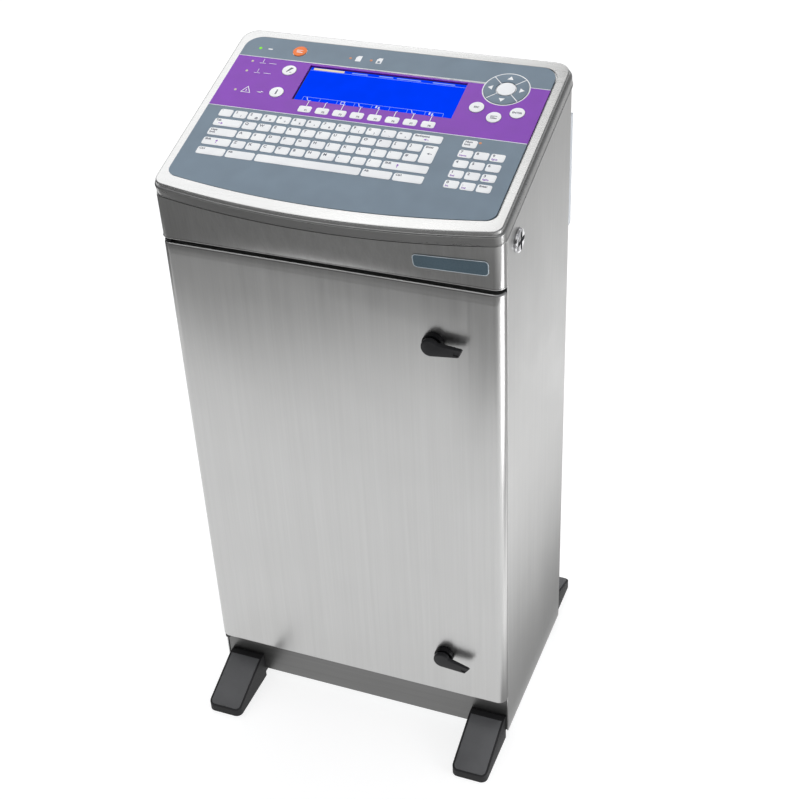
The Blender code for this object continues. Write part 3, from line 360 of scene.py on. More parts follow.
def new_material(name, colour, roughness, metallic=0.0, **sockets):
    """A Principled material, as (material, node tree, shader node)."""
    made = bpy.data.materials.new(name)
    made.use_nodes = True
    shader = made.node_tree.nodes["Principled BSDF"]
    shader.inputs["Base Color"].default_value = (*colour, 1.0)
    shader.inputs["Roughness"].default_value = roughness
    shader.inputs["Metallic"].default_value = metallic
    for socket, value in sockets.items():
        shader.inputs[socket.replace("_", " ")].default_value = value
    return made, made.node_tree, shader


def bumped(tree, shader, height, distance, strength=1.0):
    bump = {"Height": height, "Distance": distance, "Strength": strength}
    made = add_node(tree, "ShaderNodeBump", bump)
    tree.links.new(made.outputs["Normal"], shader.inputs["Normal"])


def shaded_by(tree, shader, texture, colour, low, high, socket="Base Color"):
    """Lets a colour run between two shades of itself with a texture."""
    share = span(tree, texture, 0.0, 1.0)
    mixed = blended(tree, share, shade(colour, low), shade(colour, high))
    tree.links.new(mixed, shader.inputs[socket])


def rough_by(tree, shader, texture, roughness, less, more):
    """Lets the roughness run with a texture, from a little less to a little more."""
    value = span(tree, texture, roughness - less, roughness + more)
    tree.links.new(value, shader.inputs["Roughness"])


# ---------------------------------------------------------------- materials


# Blobs of texture per metre along and across the brushing
ALONG_GRAIN = 9
ACROSS_GRAIN = 700


def brushed_metal(name, colour, roughness, grain, contrast=0.07, tilt=0.0):
    """Brushed sheet: long fine streaks along the grain, faint cloudy patches and smudges."""
    made, tree, shader = new_material(name, colour, roughness, metallic=1.0)
    along = [ALONG_GRAIN if axis == grain else ACROSS_GRAIN for axis in "xyz"]
    coarse = noise(tree, [value * 0.3 for value in along], 2.0, tilt)
    fine = noise(tree, along, 4.0, tilt)
    clouds = noise(tree, (9, 9, 9), 2.0, tilt)
    streaks = add_node(tree, "ShaderNodeMath", {0: coarse, 1: fine}, operation="ADD").outputs[0]
    tone = span(tree, streaks, 0.0, 1.0, 0.7, 1.3)
    sheet = blended(tree, tone, shade(colour, 1 - contrast), shade(colour, 1 + contrast))
    patches = span(tree, clouds, 0.0, 0.16)
    sheet = blended(tree, patches, sheet, shade(colour, 0.82))
    tree.links.new(sheet, shader.inputs["Base Color"])
    smudge = noise(tree, (26, 26, 26), 3.0, tilt)
    gloss = add_node(tree, "ShaderNodeMath", {0: streaks, 1: smudge}, operation="ADD").outputs[0]
    tree.links.new(
        span(tree, gloss, roughness - 0.025, roughness + 0.03, 1.1, 1.9), shader.inputs["Roughness"]
    )
    bumped(tree, shader, streaks, 0.00003)
    return made


def cast_metal(name, colour, roughness):
    """Blasted or plated metal with a fine even grain."""
    made, tree, shader = new_material(name, colour, roughness, metallic=1.0)
    speckle = noise(tree, (1500, 1500, 1500), 2.0)
    clouds = noise(tree, (22, 22, 22), 3.0)
    shaded_by(tree, shader, clouds, colour, 0.88, 1.08)
    rough_by(tree, shader, speckle, roughness, 0.06, 0.08)
    bumped(tree, shader, speckle, 0.00002)
    return made


def moulded_plastic(name, colour, roughness, grain=1400, depth=0.00004, variation=0.12, **sockets):
    """Moulded plastic or rubber: a spark-eroded grain, slightly uneven gloss and faint dust."""
    made, tree, shader = new_material(name, colour, roughness, **sockets)
    texture = noise(tree, (grain, grain, grain), 3.0)
    clouds = noise(tree, (35, 35, 35), 3.0)
    shaded_by(tree, shader, clouds, colour, 1 - variation, 1 + variation)
    rough_by(tree, shader, texture, roughness, 0.07, 0.07)
    bumped(tree, shader, texture, depth)
    return made


def printed_film(name, colour, roughness=0.42):
    """Polyester membrane film: an even print under a finely textured, slightly wavy top coat."""
    made, tree, shader = new_material(name, colour, roughness)
    texture = noise(tree, (2200, 2200, 2200), 2.0, CONSOLE_TILT)
    waves = noise(tree, (45, 45, 45), 1.0, CONSOLE_TILT)
    shaded_by(tree, shader, waves, colour, 0.95, 1.04)
    rough_by(tree, shader, texture, roughness, 0.05, 0.05)
    bumped(tree, shader, texture, 0.000012)
    return made


def lit(name, colour, strength, base=0.0):
    """A lamp or display face that gives off its own colour, slightly uneven, and reflects little."""
    made, tree, shader = new_material(name, shade(colour, base), 0.4, Specular_IOR_Level=0.0)
    glow = noise(tree, (60, 60, 60), 1.0)
    shaded_by(tree, shader, glow, colour, 0.94, 1.0, "Emission Color")
    shader.inputs["Emission Strength"].default_value = strength
    return made


def tank_plastic(name, liquid, level):
    """Blow-moulded milky polythene, darker where the liquid stands behind the wall."""
    wall = (0.70, 0.71, 0.66)
    made, tree, shader = new_material(name, wall, 0.45)
    height = add_node(tree, "ShaderNodeSeparateXYZ", {0: place_in_piece(tree)}).outputs["Z"]
    wave = noise(tree, (70, 70, 70), 2.0)
    mottled = blended(tree, span(tree, wave, 0.0, 1.0), shade(wall, 0.92), shade(wall, 1.06))
    filled = blended(tree, 0.78, mottled, liquid)
    share = span(tree, height, 0.0, 1.0, level + 0.002, level - 0.002)
    tree.links.new(blended(tree, share, mottled, filled), shader.inputs["Base Color"])
    bumped(tree, shader, wave, 0.0002, 0.5)
    return made


def solder_mask(name):
    """Circuit board: green mask with faint tracks showing through."""
    green = (0.012, 0.13, 0.045)
    made, tree, shader = new_material(name, green, 0.35)
    where = place_in_piece(tree, (260, 260, 260))
    tracks = add_node(tree, "ShaderNodeTexBrick", {"Vector": where, "Scale": 1.0})
    tracks.inputs["Mortar Size"].default_value = 0.08
    tree.links.new(
        blended(tree, tracks.outputs["Fac"], green, (0.03, 0.26, 0.09)),
        shader.inputs["Base Color"],
    )
    bumped(tree, shader, tracks.outputs["Fac"], 0.00004)
    return made


def floor_finish():
    """Back-lit white acrylic, as under a product photograph: even, with only faint shadows."""
    made, tree, shader = new_material("floor_finish", (0.36, 0.36, 0.36), 0.9)
    shader.inputs["Specular IOR Level"].default_value = 0.0
    shader.inputs["Emission Strength"].default_value = 0.80
    clouds = noise(tree, (3, 3, 3), 1.0)
    shaded_by(tree, shader, clouds, (1.0, 1.0, 1.0), 0.98, 1.0, "Emission Color")
    return made


STEEL = (0.54, 0.54, 0.535)
FINISH = {
    "door": brushed_metal("door_steel", STEEL, 0.30, "z", 0.035),
    "side": brushed_metal("side_steel", shade(STEEL, 1.04), 0.34, "z", 0.05),
    "fascia": brushed_metal("fascia_steel", STEEL, 0.31, "z"),
    "plinth": brushed_metal("plinth_steel", shade(STEEL, 0.34), 0.36, "x"),
    # The tray's steel is made a little brighter than the door's: painted light that whitens it.
    "tray": brushed_metal("tray_steel_painted_light", shade(STEEL, 1.04), 0.27, "x", 0.04, CONSOLE_TILT),
    # The skirt's steel is the fascia's steel made darker: painted shade.
    "skirt": brushed_metal("skirt_steel_painted_shade", shade(STEEL, 0.84), 0.29, "x", 0.05, CONSOLE_TILT),
    "zinc": cast_metal("zinc_plate", (0.52, 0.54, 0.55), 0.48),
    "case": cast_metal("blasted_aluminium", (0.62, 0.62, 0.63), 0.50),
    "chrome": cast_metal("polished_chrome", (0.82, 0.82, 0.84), 0.13),
    "plastic": moulded_plastic("black_plastic", (0.018, 0.018, 0.019), 0.38),
    "lever": moulded_plastic("lever_plastic", (0.012, 0.012, 0.014), 0.42, Specular_IOR_Level=0.35),
    "rosette": moulded_plastic(
        "rosette_plastic", (0.005, 0.005, 0.006), 0.30, Specular_IOR_Level=0.20
    ),
    # The feet's wedge rubber is darkened as painted shade on their sides; the pad's lighter rubber is
    # painted light on their sloping tops.
    "rubber": moulded_plastic(
        "black_rubber", (0.018, 0.018, 0.019), 0.60, 900, 0.00008, 0.15, Specular_IOR_Level=0.25
    ),
    "foot_pad_painted_light": moulded_plastic("rubber_pad_painted_light", (0.094, 0.095, 0.099), 0.58, 900, 0.00008, 0.10),
    "gasket": moulded_plastic("foam_gasket", (0.02, 0.02, 0.02), 0.85, 1100, 0.0001, 0.3),
    # Black for the display's surround, and painted shade on the floor of the side locks' cross recess.
    "dark": moulded_plastic("black_surround_and_painted_recess_shade", (0.008, 0.008, 0.010), 0.50),
    "cover": moulded_plastic("cover_grey", (0.62, 0.66, 0.70), 0.48, 1200, 0.00003, 0.04),
    "cream": moulded_plastic("manifold_plastic", (0.62, 0.62, 0.56), 0.42, 1200, 0.00003, 0.05),
    "filter": moulded_plastic("filter_bowl", (0.30, 0.36, 0.40), 0.20, 300, 0.00001, 0.08),
    "film": printed_film("film_grey", (0.162, 0.230, 0.297)),
    "violet": printed_film("film_violet", (0.235, 0.014, 0.50)),
    "white": printed_film("film_white", (0.95, 0.96, 0.98)),
    "orange": printed_film("film_orange", (1.0, 0.19, 0.004)),
    "ink_print": printed_film("legend_grey", (0.10, 0.11, 0.15)),
    "badge": printed_film("badge_film", (0.062, 0.102, 0.130), 0.30),
    "badge_rim": printed_film("badge_rim", (0.50, 0.56, 0.60), 0.30),
    "screen": lit("screen_blue", (0.0, 0.046, 1.0), 1.0),
    "screen_line": lit("screen_line", (0.30, 0.45, 1.0), 0.9),
    "screen_sign": lit("screen_sign", (0.78, 0.84, 1.0), 0.9),
    "screen_tab": lit("screen_tab", (0.95, 0.80, 0.55), 0.9),
    "green_lamp": lit("green_lamp", (0.28, 0.95, 0.06), 0.8, 0.2),
    "amber_lamp": lit("amber_lamp", (0.80, 0.36, 0.20), 0.5, 0.4),
    "pale_lamp": lit("pale_lamp", (0.80, 0.74, 0.56), 0.4, 0.5),
    "ink_tank": tank_plastic("ink_tank_wall", (0.010, 0.010, 0.014), BASE_Z + 0.102),
    "makeup_tank": tank_plastic("makeup_tank_wall", (0.50, 0.52, 0.50), BASE_Z + 0.118),
    "board": solder_mask("solder_mask"),
}


# ---------------------------------------------------------------- outlines


def arc(centre, radius, start, end, steps):
    """Points on an arc, with its angles in degrees."""
    angles = [math.radians(start + (end - start) * i / steps) for i in range(steps + 1)]
    return [(centre[0] + radius * math.cos(a), centre[1] + radius * math.sin(a)) for a in angles]


def circle(centre, radius, steps=48):
    return arc(centre, radius, 0, 360, steps)[:-1]


def rectangle(low_x, high_x, low_y, high_y):
    return [(low_x, low_y), (high_x, low_y), (high_x, high_y), (low_x, high_y)]


def rounded(low_x, high_x, low_y, high_y, radius, steps=5):
    """A rectangle with rounded corners."""
    right, top = high_x - radius, high_y - radius
    left, bottom = low_x + radius, low_y + radius
    return (
        arc((right, bottom), radius, 270, 360, steps)
        + arc((right, top), radius, 0, 90, steps)
        + arc((left, top), radius, 90, 180, steps)
        + arc((left, bottom), radius, 180, 270, steps)
    )


def bowed_front(half_width, front, radius, bow, steps=32):
    """An edge from left to right that bows forward in the middle and turns back at each corner."""
    turn = 0.0
    for _ in range(3):
        turn = math.atan(2 * bow * (half_width - radius + radius * math.sin(turn)))
    join = half_width - radius + radius * math.sin(turn)
    corner_y = front + bow * join**2 + radius * math.cos(turn)
    middle = [join * (2 * i / steps - 1) for i in range(1, steps)]
    left = arc((radius - half_width, corner_y), radius, 180, 270 - math.degrees(turn), 10)
    right = [(-x, y) for x, y in reversed(left)]
    return left + [(x, front + bow * x**2) for x in middle] + right


def console_outline(half_width, front, rear, front_radius, rear_radius):
    """A closed outline in the console's plane: bowed front, straight sides, rounded back corners."""
    corner_x = half_width - rear_radius
    corner_y = rear - rear_radius
    right = arc((corner_x, corner_y), rear_radius, 0, 90, 10)
    left = arc((-corner_x, corner_y), rear_radius, 90, 180, 10)
    return bowed_front(half_width, front, front_radius, BOW) + right + left


def shrunk(edges, inset, rear_inset=None):
    """A console outline moved in from (half width, front, rear), with corners kept concentric."""
    half_width, front, rear = edges
    front_radius, rear_radius = (max(0.002, radius - inset) for radius in CORNERS)
    rear -= inset if rear_inset is None else rear_inset
    return console_outline(half_width - inset, front + inset, rear, front_radius, rear_radius)


# ---------------------------------------------------------------- meshes


def to_mesh(name, body):
    mesh = bpy.data.meshes.new(name)
    body.to_mesh(mesh)
    body.free()
    return mesh


def plate(name, outlines, low, high, place, rounding=0.0):
    """A flat plate between low and high along the place's Z. Outlines inside others are holes."""
    curve = bpy.data.curves.new(name, "CURVE")
    curve.dimensions = "2D"
    curve.fill_mode = "BOTH"
    curve.extrude = (high - low) / 2 - rounding
    curve.bevel_depth = rounding
    curve.bevel_resolution = 3
    curve.offset = -rounding
    for outline in outlines:
        spline = curve.splines.new("POLY")
        spline.points.add(len(outline) - 1)
        for point, (x, y) in zip(spline.points, outline):
            point.co = (x, y, 0, 1)
        spline.use_cyclic_u = True
    guide = bpy.data.objects.new(name, curve)
    bpy.context.scene.collection.objects.link(guide)
    graph = bpy.context.evaluated_depsgraph_get()
    mesh = bpy.data.meshes.new_from_object(guide.evaluated_get(graph))
    bpy.data.objects.remove(guide)
    body = bmesh.new()
    body.from_mesh(mesh)
    bmesh.ops.remove_doubles(body, verts=body.verts, dist=2e-6)
    bmesh.ops.recalc_face_normals(body, faces=body.faces)
    middle = Matrix.Translation((0, 0, (low + high) / 2))
    bmesh.ops.transform(body, verts=body.verts, matrix=place @ middle)
    return to_mesh(name, body)


def loft(name, loops, closed=False):
    """A skin through loops of equally many points, capped at both ends unless it closes on itself."""
    body = bmesh.new()
    rows = [[body.verts.new(point) for point in loop] for loop in loops]
    count = len(rows[0])
    pairs = list(zip(rows, rows[1:]))
    if closed:
        pairs.append((rows[-1], rows[0]))
    for here, there in pairs:
        for i in range(count):
            after = (i + 1) % count
            body.faces.new((here[i], here[after], there[after], there[i]))
    if not closed:
        body.faces.new(rows[0])
        body.faces.new(rows[-1])
    bmesh.ops.recalc_face_normals(body, faces=body.faces)
    return to_mesh(name, body)


def turned(name, profile, place, steps=48):
    """A round body about the place's Z, through (radius, height) points from end to end."""
    loops = [
        [place @ Vector((x, y, height)) for x, y in circle((0, 0), radius, steps)]
        for radius, height in profile
    ]
    return loft(name, loops)


def joined(name, meshes):
    """One mesh made of several."""
    body = bmesh.new()
    for mesh in meshes:
        body.from_mesh(mesh)
    return to_mesh(name, body)


def box_mesh(name, xs, depths, heights):
    """A box between two places across, two depths and two heights."""
    body = bmesh.new()
    bmesh.ops.create_cube(body, size=1)
    size = (xs[1] - xs[0], depths[1] - depths[0], heights[1] - heights[0])
    centre = (sum(xs) / 2, sum(depths) / 2, sum(heights) / 2)
    bmesh.ops.scale(body, verts=body.verts, vec=size)
    bmesh.ops.translate(body, verts=body.verts, vec=centre)
    return to_mesh(name, body)


def cad_mesh(node):
    """A copy of a CAD node's mesh, with its split points and its flat triangles joined again."""
    body = bmesh.new()
    body.from_mesh(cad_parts[node].data)
    bmesh.ops.remove_doubles(body, verts=body.verts, dist=5e-6)
    bmesh.ops.dissolve_limit(
        body, angle_limit=math.radians(0.5), verts=body.verts, edges=body.edges
    )
    return to_mesh(node + "_look", body)


def lettering(name, text, size, place):
    """Flat letters in the place's XY plane."""
    curve = bpy.data.curves.new(name, "FONT")
    curve.body = text
    curve.size = size
    curve.offset = size * 0.035
    curve.resolution_u = 3
    guide = bpy.data.objects.new(name, curve)
    bpy.context.scene.collection.objects.link(guide)
    graph = bpy.context.evaluated_depsgraph_get()
    mesh = bpy.data.meshes.new_from_object(guide.evaluated_get(graph))
    bpy.data.objects.remove(guide)
    mesh.transform(place)
    return mesh


# ---------------------------------------------------------------- pieces


def piece(name, mesh, finish, body, replaces=()):
    """Puts a mesh in the scene with its finish and lets it ride on a body."""
    mesh.materials.clear()
    mesh.materials.append(FINISH[finish])
    mesh.polygons.foreach_set("material_index", [0] * len(mesh.polygons))
    mesh.shade_smooth()
    mesh.set_sharp_from_angle(angle=math.radians(SHARP_ANGLE))
    obj = bpy.data.objects.new(name, mesh)
    bpy.context.scene.collection.objects.link(obj)
    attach(obj, body)
    if replaces:
        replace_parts(obj, *replaces)
    return obj


def soften(obj, width, segments=3, angle=SHARP_ANGLE):
    """Rounds a piece's hard edges."""
    bevel = obj.modifiers.new("edges", "BEVEL")
    bevel.width = width
    bevel.segments = segments
    bevel.limit_method = "ANGLE"
    bevel.angle_limit = math.radians(angle)
    bevel.harden_normals = True
    return obj


def carve(obj, meshes, operation="DIFFERENCE"):
    """Cuts meshes out of a piece, or keeps what lies inside them, and applies the result."""
    for mesh in meshes:
        cutter = bpy.data.objects.new("cutter", mesh)
        bpy.context.scene.collection.objects.link(cutter)
        modifier = obj.modifiers.new("cut", "BOOLEAN")
        modifier.operation = operation
        modifier.solver = "EXACT"
        modifier.object = cutter
        graph = bpy.context.evaluated_depsgraph_get()
        result = bpy.data.meshes.new_from_object(obj.evaluated_get(graph))
        obj.modifiers.remove(modifier)
        obj.data = result
        bpy.data.objects.remove(cutter)
    obj.data.set_sharp_from_angle(angle=math.radians(SHARP_ANGLE))
    return obj


def refined(node, finish, body, edge=0.0004):
    """Stands for a CAD node with its own shape and softened edges."""
    return soften(piece(node + "_look", cad_mesh(node), finish, body, [node]), edge)


def console_print(name, outlines, finish, slot, low, high, rounding=0.0, replaces=()):
    """Thin printed or embossed shapes on the console's face."""
    mesh = plate(name, outlines, low, high, CONSOLE, rounding)
    return piece(name, mesh, finish, "console", replaces)


def strip(start, end, width):
    """A straight line of a certain width, as an outline."""
    start, end = Vector(start), Vector(end)
    side = (end - start).orthogonal().normalized() * width / 2
    return [tuple(point) for point in (start - side, end - side, end + side, start + side)]


# ---------------------------------------------------------------- console


def console_ring(name, sections, finish, replaces=()):
    """A closed skin through console outlines, each with its distance out from the face."""
    place = CONSOLE @ Matrix.Translation((BEZEL_SHIFT, 0, 0))
    loops = [[place @ Vector((x, y, out)) for x, y in outline] for outline, out in sections]
    piece(name, loft(name, loops, closed=True), finish, "console", replaces)


def console_tray():
    """The steel tray round the film, with a rolled outer edge and a small step down to the film."""
    roll = 0.0015
    lap = 0.016
    film_gap = 0.0004
    step = 0.0003
    film_back = OVERLAY_OUT[0] - GAP
    underside = LEDGE_OUT - 0.0006
    sections = [(shrunk(OVERLAY, -film_gap), film_back), (shrunk(OVERLAY, -film_gap), -step)]
    sections.append((shrunk(OVERLAY, -0.0007), 0.0))
    sections += [(shrunk(TRAY, -x), y) for x, y in arc((-roll, -roll), roll, 90, 0, 10)]
    sections += [(shrunk(TRAY, 0), underside), (shrunk(TRAY, lap), underside)]
    sections.append((shrunk(TRAY, lap), film_back))
    console_ring("console_tray", sections, "tray", ["console_bezel"])


def console_skirt():
    """The skirt under the tray, with a round fold at its top and a hem bead at its lower edge."""
    fold = 0.0024
    bead = 0.0008
    bead_shift = 0.00035
    lip = 0.010
    wall = 0.0015
    lap = 0.012
    hem_out = SKIRT_OUT + 0.0005
    ledge = LEDGE_OUT - 0.0007
    sections = [(shrunk(SKIRT, lap), ledge)]
    sections += [(shrunk(SKIRT, -x), ledge + y) for x, y in arc((-fold, -fold), fold, 90, 0, 8)]
    hem = arc((bead_shift - bead, bead), bead, 60, -90, 8)
    sections += [(shrunk(SKIRT, -x), hem_out + y) for x, y in hem]
    sections += [(shrunk(SKIRT, lip, wall), hem_out), (shrunk(SKIRT, lip, wall), hem_out + wall)]
    sections += [(shrunk(SKIRT, wall), hem_out + wall), (shrunk(SKIRT, wall), ledge - wall)]
    sections.append((shrunk(SKIRT, lap), ledge - wall))
    console_ring("console_skirt", sections, "skirt")


def split_band(obj):
    """Divides the overlay along the violet band's edges and gives the band its own finish."""
    obj.data.materials.append(FINISH["violet"])
    body = bmesh.new()
    body.from_mesh(obj.data)
    upslope = CONSOLE.to_3x3() @ Vector((0, 1, 0))
    for up in BAND_UP:
        everything = [*body.verts, *body.edges, *body.faces]
        middle = CONSOLE @ Vector((0, up, 0))
        bmesh.ops.bisect_plane(body, geom=everything, plane_co=middle, plane_no=upslope, dist=1e-6)
    down = CONSOLE.inverted()
    for face in body.faces:
        up = (down @ face.calc_center_median()).y
        face.material_index = int(BAND_UP[0] < up < BAND_UP[1])
    body.to_mesh(obj.data)
    body.free()


def overlay():
    """The membrane film, with openings for the display and for the keys that travel."""
    outlines = [shrunk(OVERLAY, 0), rectangle(-LCD_X, LCD_X, *LCD_UP)]
    outlines += [circle(centre, KEY_RADIUS + GAP) for centre in ROUND_KEYS.values()]
    outlines.append(circle(PAD_CENTRE, PAD_RADIUS + GAP, 72))
    split_band(
        console_print("membrane_film", outlines, "film", "membrane", *OVERLAY_OUT,
                      replaces=["membrane_overlay"])
    )


def band_lines():
    """Fine light lines along the violet band, and the ring round the direction pad."""
    width = 0.0006
    ring = PAD_RADIUS + 0.0013
    half = OVERLAY[0] - 0.0002
    reach = math.sqrt(ring**2 - (BAND_UP[1] - PAD_CENTRE[1]) ** 2)
    lines = [strip((-half, BAND_UP[0]), (half, BAND_UP[0]), width)]
    lines.append(strip((-half, BAND_UP[1]), (PAD_CENTRE[0] - reach, BAND_UP[1]), width))
    lines.append(strip((PAD_CENTRE[0] + reach, BAND_UP[1]), (half, BAND_UP[1]), width))
    lines.append(circle(PAD_CENTRE, ring, 72))
    lines.append(circle(PAD_CENTRE, PAD_RADIUS + GAP, 72))
    console_print("band_lines", lines, "white", "key_white", 0.0, LINE_PRINT_OUT)


def key_cell(corner, column, row, width, height):
    """The outline of a printed key that takes up so many columns and rows."""
    left = corner[0] + column * KEY_PITCH[0]
    top = corner[1] - row * KEY_PITCH[1]
    right = left + (width - 1) * KEY_PITCH[0] + KEY_SIZE[0]
    bottom = top - (height - 1) * KEY_PITCH[1] - KEY_SIZE[1]
    return rounded(left, right, bottom, top, KEY_CORNER)


def legend(text, left, baseline, size):
    place = CONSOLE @ Matrix.Translation((left, baseline, PRINT_OUT + LEGEND_LIFT))
    return lettering("legend", text, size, place)


def keyboard():
    """The printed keys: five rows of letters, a tall Enter key and the number pad."""
    cells = []
    marks = []
    violet = []

    def key(corner, column, row, text, width=1, height=1):
        """One key with its legend at the upper left. Returns that corner."""
        cells.append(key_cell(corner, column, row, width, height))
        left = corner[0] + column * KEY_PITCH[0] + LEGEND_INSET[0]
        top = corner[1] - row * KEY_PITCH[1] - LEGEND_INSET[1]
        size = LETTER_SIZE if len(text) == 1 else WORD_SIZE
        for line, word in enumerate(text.split()):
            marks.append(legend(word, left, top - (line + LETTER_TOP) * size, size))
        return left, top

    for row, keys in enumerate(KEY_ROWS):
        column = 0
        for number, entry in enumerate(keys):
            text, width = entry if isinstance(entry, tuple) else (entry, 1)
            left, top = key(KEYBOARD_CORNER, column, row, text, width)
            if row == 0 and 0 < number <= len(SHIFTED):
                across, down = SHIFTED_INSET
                sign = SHIFTED[number - 1]
                marks.append(legend(sign, left + across, top - down, MARK_SIZE))
            if text in ARROWED:
                across, down, angle = ARROWED[text]
                violet.append(flat_arrow(arrow_sign(left + across, top + down, angle)))
            column += width
    left, top = key(KEYBOARD_CORNER, 14, 1, "Enter", 1, 2)
    across, down, angle = ENTER_ARROW
    marks.append(flat_arrow(arrow_sign(left + across, top + down, angle)))
    for row, digits in enumerate(NUMBER_ROWS):
        for column, digit in enumerate(digits):
            left, top = key(NUMBER_PAD_CORNER, column, row, digit)
            if digit in PAD_WORDS:
                violet.append(legend(PAD_WORDS[digit], left, top - PAD_WORD_DROP, PAD_WORD_SIZE))
    key(NUMBER_PAD_CORNER, 2, len(NUMBER_ROWS) - 1, "Enter")
    key(NUMBER_PAD_CORNER, 0, -1, "Num lock")
    console_print("printed_keys", cells, "white", "key_white", KEY_PRINT_LOW, PRINT_OUT, KEY_EDGE)
    piece("key_legends", joined("key_legends", marks), "ink_print", "console")
    piece("violet_legends", joined("violet_legends", violet), "violet", "console")


def arrow_sign(x, up, angle):
    """A small arrow that points along an angle in degrees, as an outline."""
    turn = math.radians(angle)
    cos, sin = math.cos(turn), math.sin(turn)
    return [(x + a * cos - b * sin, up + a * sin + b * cos) for a, b in ARROW_SHAPE]


def flat_arrow(outline):
    return plate("arrow", [outline], PRINT_OUT, PRINT_OUT + LEGEND_LIFT, CONSOLE)


def soft_key_x(number):
    return (number - (SOFT_KEYS - 1) / 2) * SOFT_KEY_PITCH


def soft_keys():
    """The eight function keys under the display, each with a leader line and a legend."""
    cells = []
    marks = []
    half_x, half_up = SOFT_KEY_SIZE[0] / 2, SOFT_KEY_SIZE[1] / 2
    low, high = SOFT_KEY_UP - half_up, SOFT_KEY_UP + half_up
    for i in range(SOFT_KEYS):
        x = soft_key_x(i)
        cells.append(rounded(x - half_x, x + half_x, low, high, KEY_CORNER))
        cells.append(strip((x, high - SIGN_LINE), (x, LCD_UP[0]), SIGN_LINE))
        marks.append(legend(f"F{i + 1}", x, SOFT_KEY_UP - SOFT_LEGEND_DROP, MARK_SIZE))
    console_print("soft_keys", cells, "white", "key_white", KEY_PRINT_LOW, PRINT_OUT, SOFT_KEY_EDGE)
    piece("soft_key_legends", joined("soft_key_legends", marks), "ink_print", "console")


def display():
    """The blue display face, sunk below the film inside a dark surround that shows wider at the left
    and top as painted shade.
    """
    left_inset, right_inset, low_inset, top_inset = DISPLAY_INSETS_WITH_PAINTED_SHADE
    left, right = left_inset - LCD_X, LCD_X - right_inset
    bottom, top = LCD_UP[0] + low_inset, LCD_UP[1] - top_inset
    back = LCD_OUT - DISPLAY_THICKNESS
    face = rectangle(left, right, bottom, top)
    console_print("display_face", [face], "screen", "lcd_window", back, LCD_OUT,
                  replaces=["display_window"])
    reach = SURROUND_REACH
    ring = rectangle(-LCD_X - reach, LCD_X + reach, LCD_UP[0] - reach, LCD_UP[1] + reach)
    console_print("display_surround", [ring, face], "dark", "black_plastic", back, OVERLAY_OUT[0])
    display_print(left, right, bottom, top - HEADER_DROP)


def display_print(left, right, bottom, header):
    """What the display shows: a header with words and a tab, and a row of menu boxes with signs."""
    half_menu = SOFT_KEYS / 2 * SOFT_KEY_PITCH
    lines = [strip((left, header), (right, header), DISPLAY_LINE)]
    lines.append(strip((-half_menu, MENU_TOP), (half_menu, MENU_TOP), DISPLAY_LINE))
    for i in range(SOFT_KEYS + 1):
        x = (i - SOFT_KEYS / 2) * SOFT_KEY_PITCH
        lines.append(strip((x, bottom), (x, MENU_TOP - DISPLAY_LINE), DISPLAY_LINE))
    word_low, word_high = (header + up for up in HEADER_WORD_UP)
    for start, end in HEADER_WORDS:
        lines.append(rectangle(start, end, word_low, word_high))
    centres = [soft_key_x(i) for i in range(SOFT_KEYS)]
    signs = [strip((x, bottom), (x, MENU_LEADER_TOP), SIGN_LINE) for x in centres]
    across, up = MENU_SIGN_PLACE
    for i in MENU_SIGNS:
        signs += menu_sign(centres[i] + across, up, i)
    tab_low, tab_high = (header + up for up in TAB_UP)
    tab = rectangle(left + TAB_START, TAB_END, tab_low, tab_high)
    for name, outlines, finish in (
        ("display_lines", lines, "screen_line"),
        ("display_signs", signs, "screen_sign"),
        ("display_tab", [tab], "screen_tab"),
    ):
        console_print(name, outlines, finish, "lcd_window", LCD_OUT, LCD_OUT + DISPLAY_LIFT)


def menu_sign(x, up, kind):
    """A small sign in a menu box: strokes that differ from box to box."""
    width = 0.0006
    size = 0.0021
    if kind % 3 == 0:
        return [
            strip((x - size, up + size), (x, up - size), width),
            strip((x + width, up - size), (x + size, up - size), width),
        ]
    if kind % 3 == 1:
        return [
            rectangle(x - size, x - size / 3, up - size / 2, up + size),
            rectangle(x + size / 3, x + size, up - size, up + size / 2),
        ]
    ring = rectangle(x - size, x + size, up - size, up + size)
    return [ring, rectangle(x - size + width, x + size - width, up - size + width, up + size - width)]


def indicator_lamps():
    """Small domed lamps in three colours."""
    for name, (radius, centres) in INDICATORS.items():
        profile = [(radius * math.cos(a), INDICATOR_OUT * math.sin(a)) for a in DOME_ANGLES]
        domes = [
            turned(name, profile, CONSOLE @ Matrix.Translation((x, up, 0)), 20)
            for x, up in centres
        ]
        piece(name, joined(name, domes), name, "console")


def white_signs():
    """The small white signs beside the lamps."""
    signs = [rounded(*DASH_SIGN, DASH_CORNER, 3)]
    for base in HEAD_SIGN_UPS:
        for (x, up), (end_x, end_up) in HEAD_SIGN:
            signs.append(strip((x, base + up), (end_x, base + end_up), SIGN_LINE))
    signs += warning_sign(WARNING_CENTRE, WARNING_SIZE, SIGN_LINE * 1.4)
    signs += [strip(*FLOW_LINE, SIGN_LINE), FLOW_HEAD]
    for x in CARTRIDGE_X:
        signs.append([(x + across, up) for across, up in CARTRIDGE_SIGN])
    signs.append(rectangle(*CARTRIDGE_MARK))
    console_print("white_signs", signs, "white", "key_white", 0.0, LINE_PRINT_OUT)


def warning_sign(centre, size, line):
    """A triangle drawn as a line, with a bar inside."""
    x, up = centre
    outer = arc(centre, size, 90, 450, 3)[:-1]
    inner = arc(centre, size - 2 * line, 90, 450, 3)[:-1]
    bar = rectangle(x - line / 2, x + line / 2, up + WARNING_BAR[0], up + WARNING_BAR[1])
    return [outer, inner, bar]


